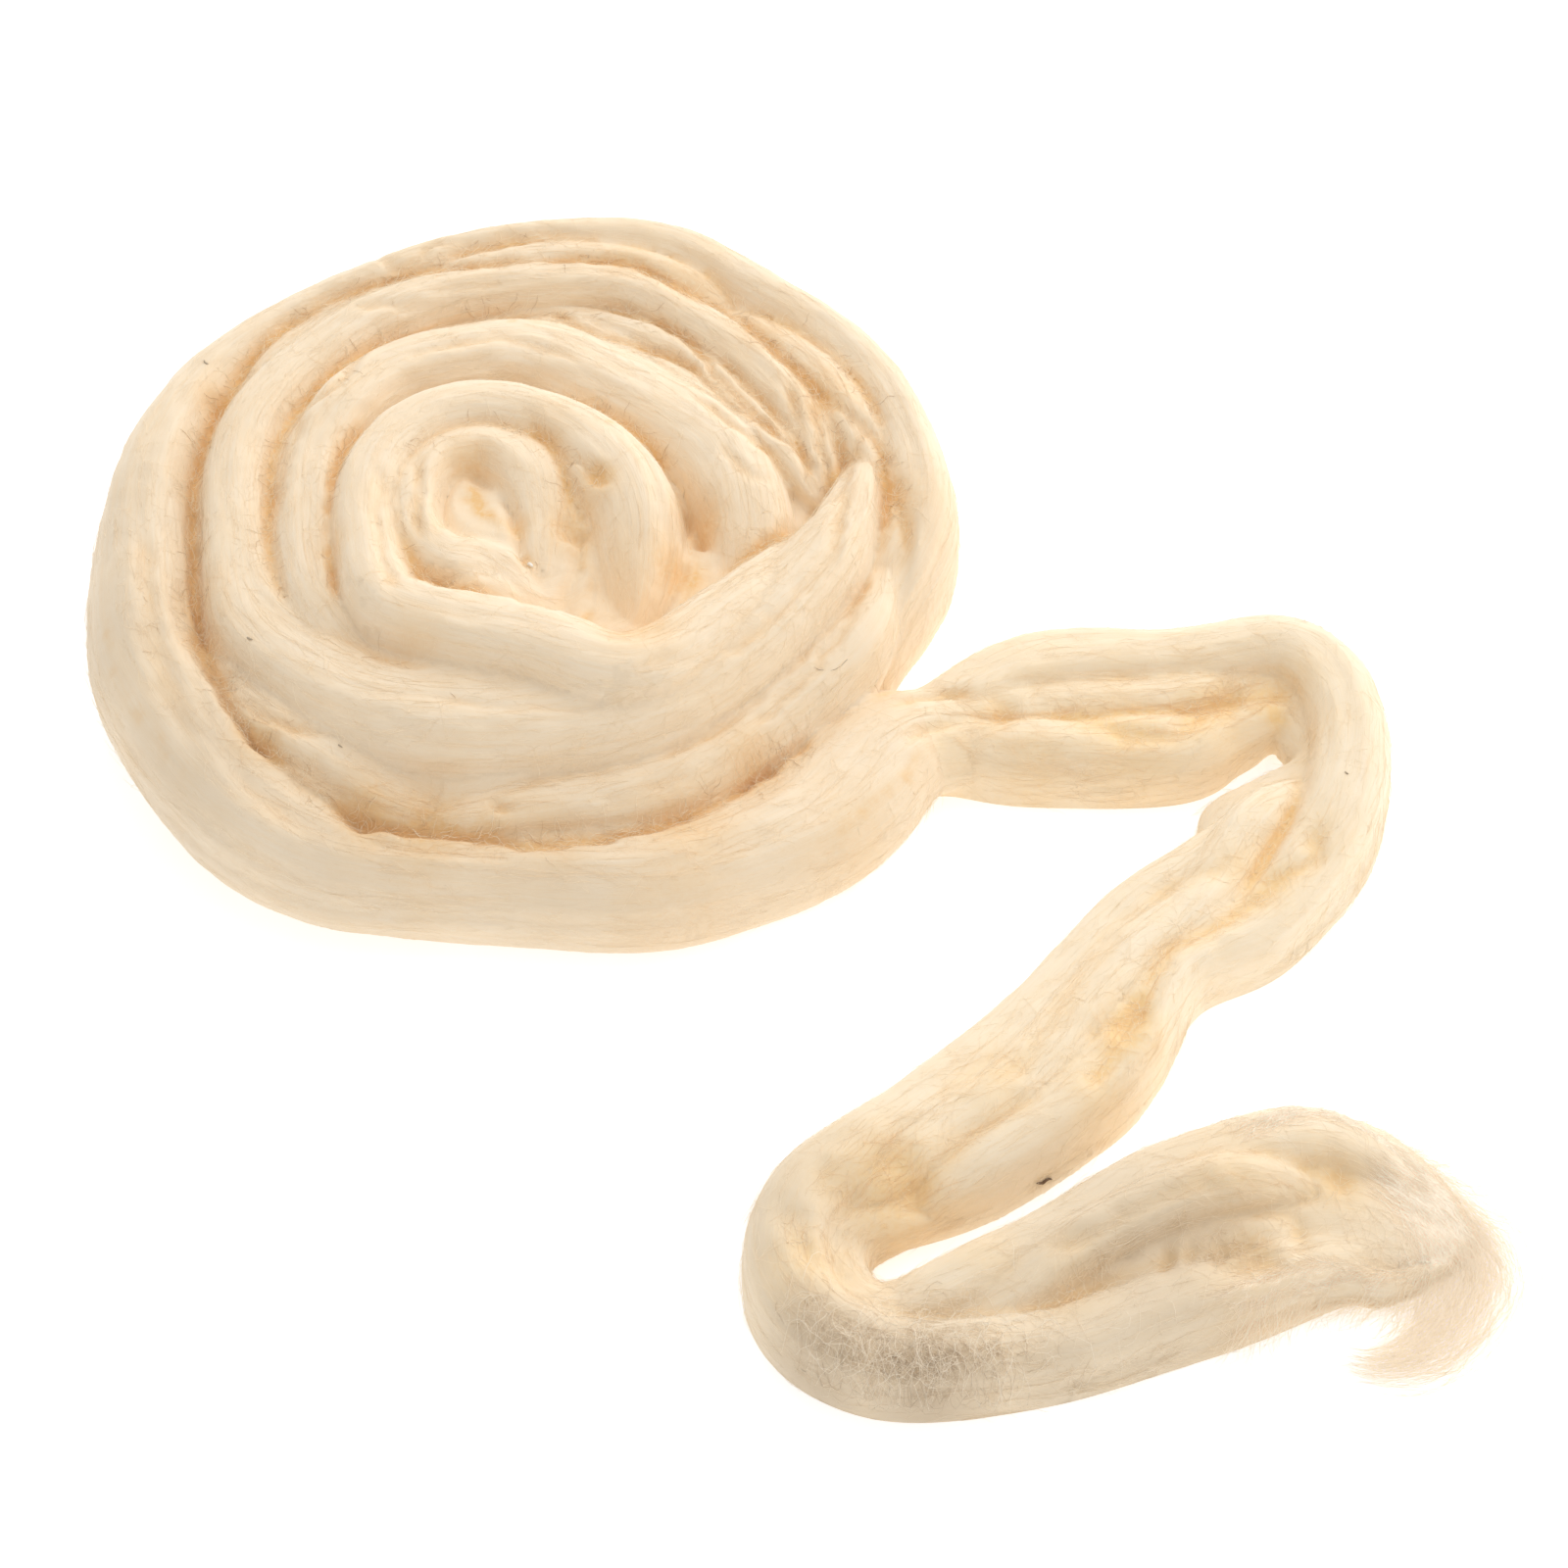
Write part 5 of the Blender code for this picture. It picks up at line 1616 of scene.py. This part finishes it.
def main():
    """Build the scene."""
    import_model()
    set_camera()
    set_light()
    lay_floor()
    rng = np.random.default_rng(SEED)
    bun = [ply_surface(plan_rows(turns), turns is OUTER_TURN, rng) for turns in BUN_PLIES]
    bed = bed_surface(TAIL_BED, rng)
    tail = [bed] + [ply_surface(riding_rows(rides), False, rng) for rides in TAIL_PLIES]
    relief = relief_of(bun + tail, rng)
    tubes = [heart_tube()] + [tube(ply.grid) for ply in bun + tail]
    block = prism("floor_block", square_of(FLOOR_REACH), -FLOOR_DEPTH, REST_HEIGHT)
    whole, points = melted(tubes, block, relief, rng)
    relief = skin_relief(relief, points)
    wool = finishes()
    loose_wool, crease_wool = wool["loose_hair"], wool["crease_hair"]
    side = prism("loose_side", LOOSE_SIDE, -FLOOR_DEPTH, SKIN_TOP)
    bun_strays = stray_starts(*BUN_PLAN, BUN_STRAYS.count, relief, rng)
    tail_strays = stray_starts(*TAIL_PLAN, TAIL_STRAYS.count, relief, rng)
    bun_creases = crease_starts(*BUN_PLAN, BUN_CREASE_HAIRS.count, relief, rng)
    crease_shade_starts = crease_starts(*BUN_PLAN, CREASE_SHADE_HAIRS.count, relief, rng)
    tail_creases = crease_starts(*TAIL_PLAN, TAIL_CREASE_HAIRS.count, relief, rng)
    dark_starts = mat_starts(relief, MAT_DARK.count, rng)
    light_starts = mat_starts(relief, MAT_LIGHT.count, rng)
    bun_pieces = [
        skin("bun_skin", whole, "DIFFERENCE", side, relief, wool["bun_combed_wool"]),
        combed_hair("bun_combed_hair", bun, relief, BUN_COMBED, loose_wool, rng),
        combed_hair("bun_flyaway_hair", bun, relief, BUN_FLYAWAY, loose_wool, rng),
        stray_hair("bun_stray_hair", bun_strays, relief, BUN_STRAYS, loose_wool, rng),
        stray_hair("bun_crease_hair", bun_creases, relief, BUN_CREASE_HAIRS, crease_wool, rng),
        stray_hair("bun_crease_shade", crease_shade_starts, relief, CREASE_SHADE_HAIRS, wool["crease_shade"], rng),
    ]
    tail_pieces = [
        skin("tail_skin", whole, "INTERSECT", side, relief, wool["tail_combed_wool"]),
        combed_hair("tail_combed_hair", tail, relief, TAIL_COMBED, loose_wool, rng),
        combed_hair("tail_flyaway_hair", tail, relief, TAIL_FLYAWAY, loose_wool, rng),
        stray_hair("tail_stray_hair", tail_strays, relief, TAIL_STRAYS, loose_wool, rng),
        stray_hair("tail_crease_hair", tail_creases, relief, TAIL_CREASE_HAIRS, crease_wool, rng),
        stray_hair("tail_mat_shade", dark_starts, relief, MAT_DARK, wool["matted_shade"], rng),
        stray_hair("tail_mat_light", light_starts, relief, MAT_LIGHT, wool["matted_hair"], rng),
        fringe_hair("tail_fringe", relief, wool["end_hair"], rng),
        curl_hair("tail_curl", relief, wool["end_hair"], rng),
    ]
    for bit in BITS:
        beside = tail_pieces if bit.spots[0][0] > TAIL_FROM else bun_pieces
        beside.append(caught_bit(bit, relief))
    for piece in bun_pieces:
        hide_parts("wound_roving")
    for piece in tail_pieces:
        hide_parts("loose_end")


main()
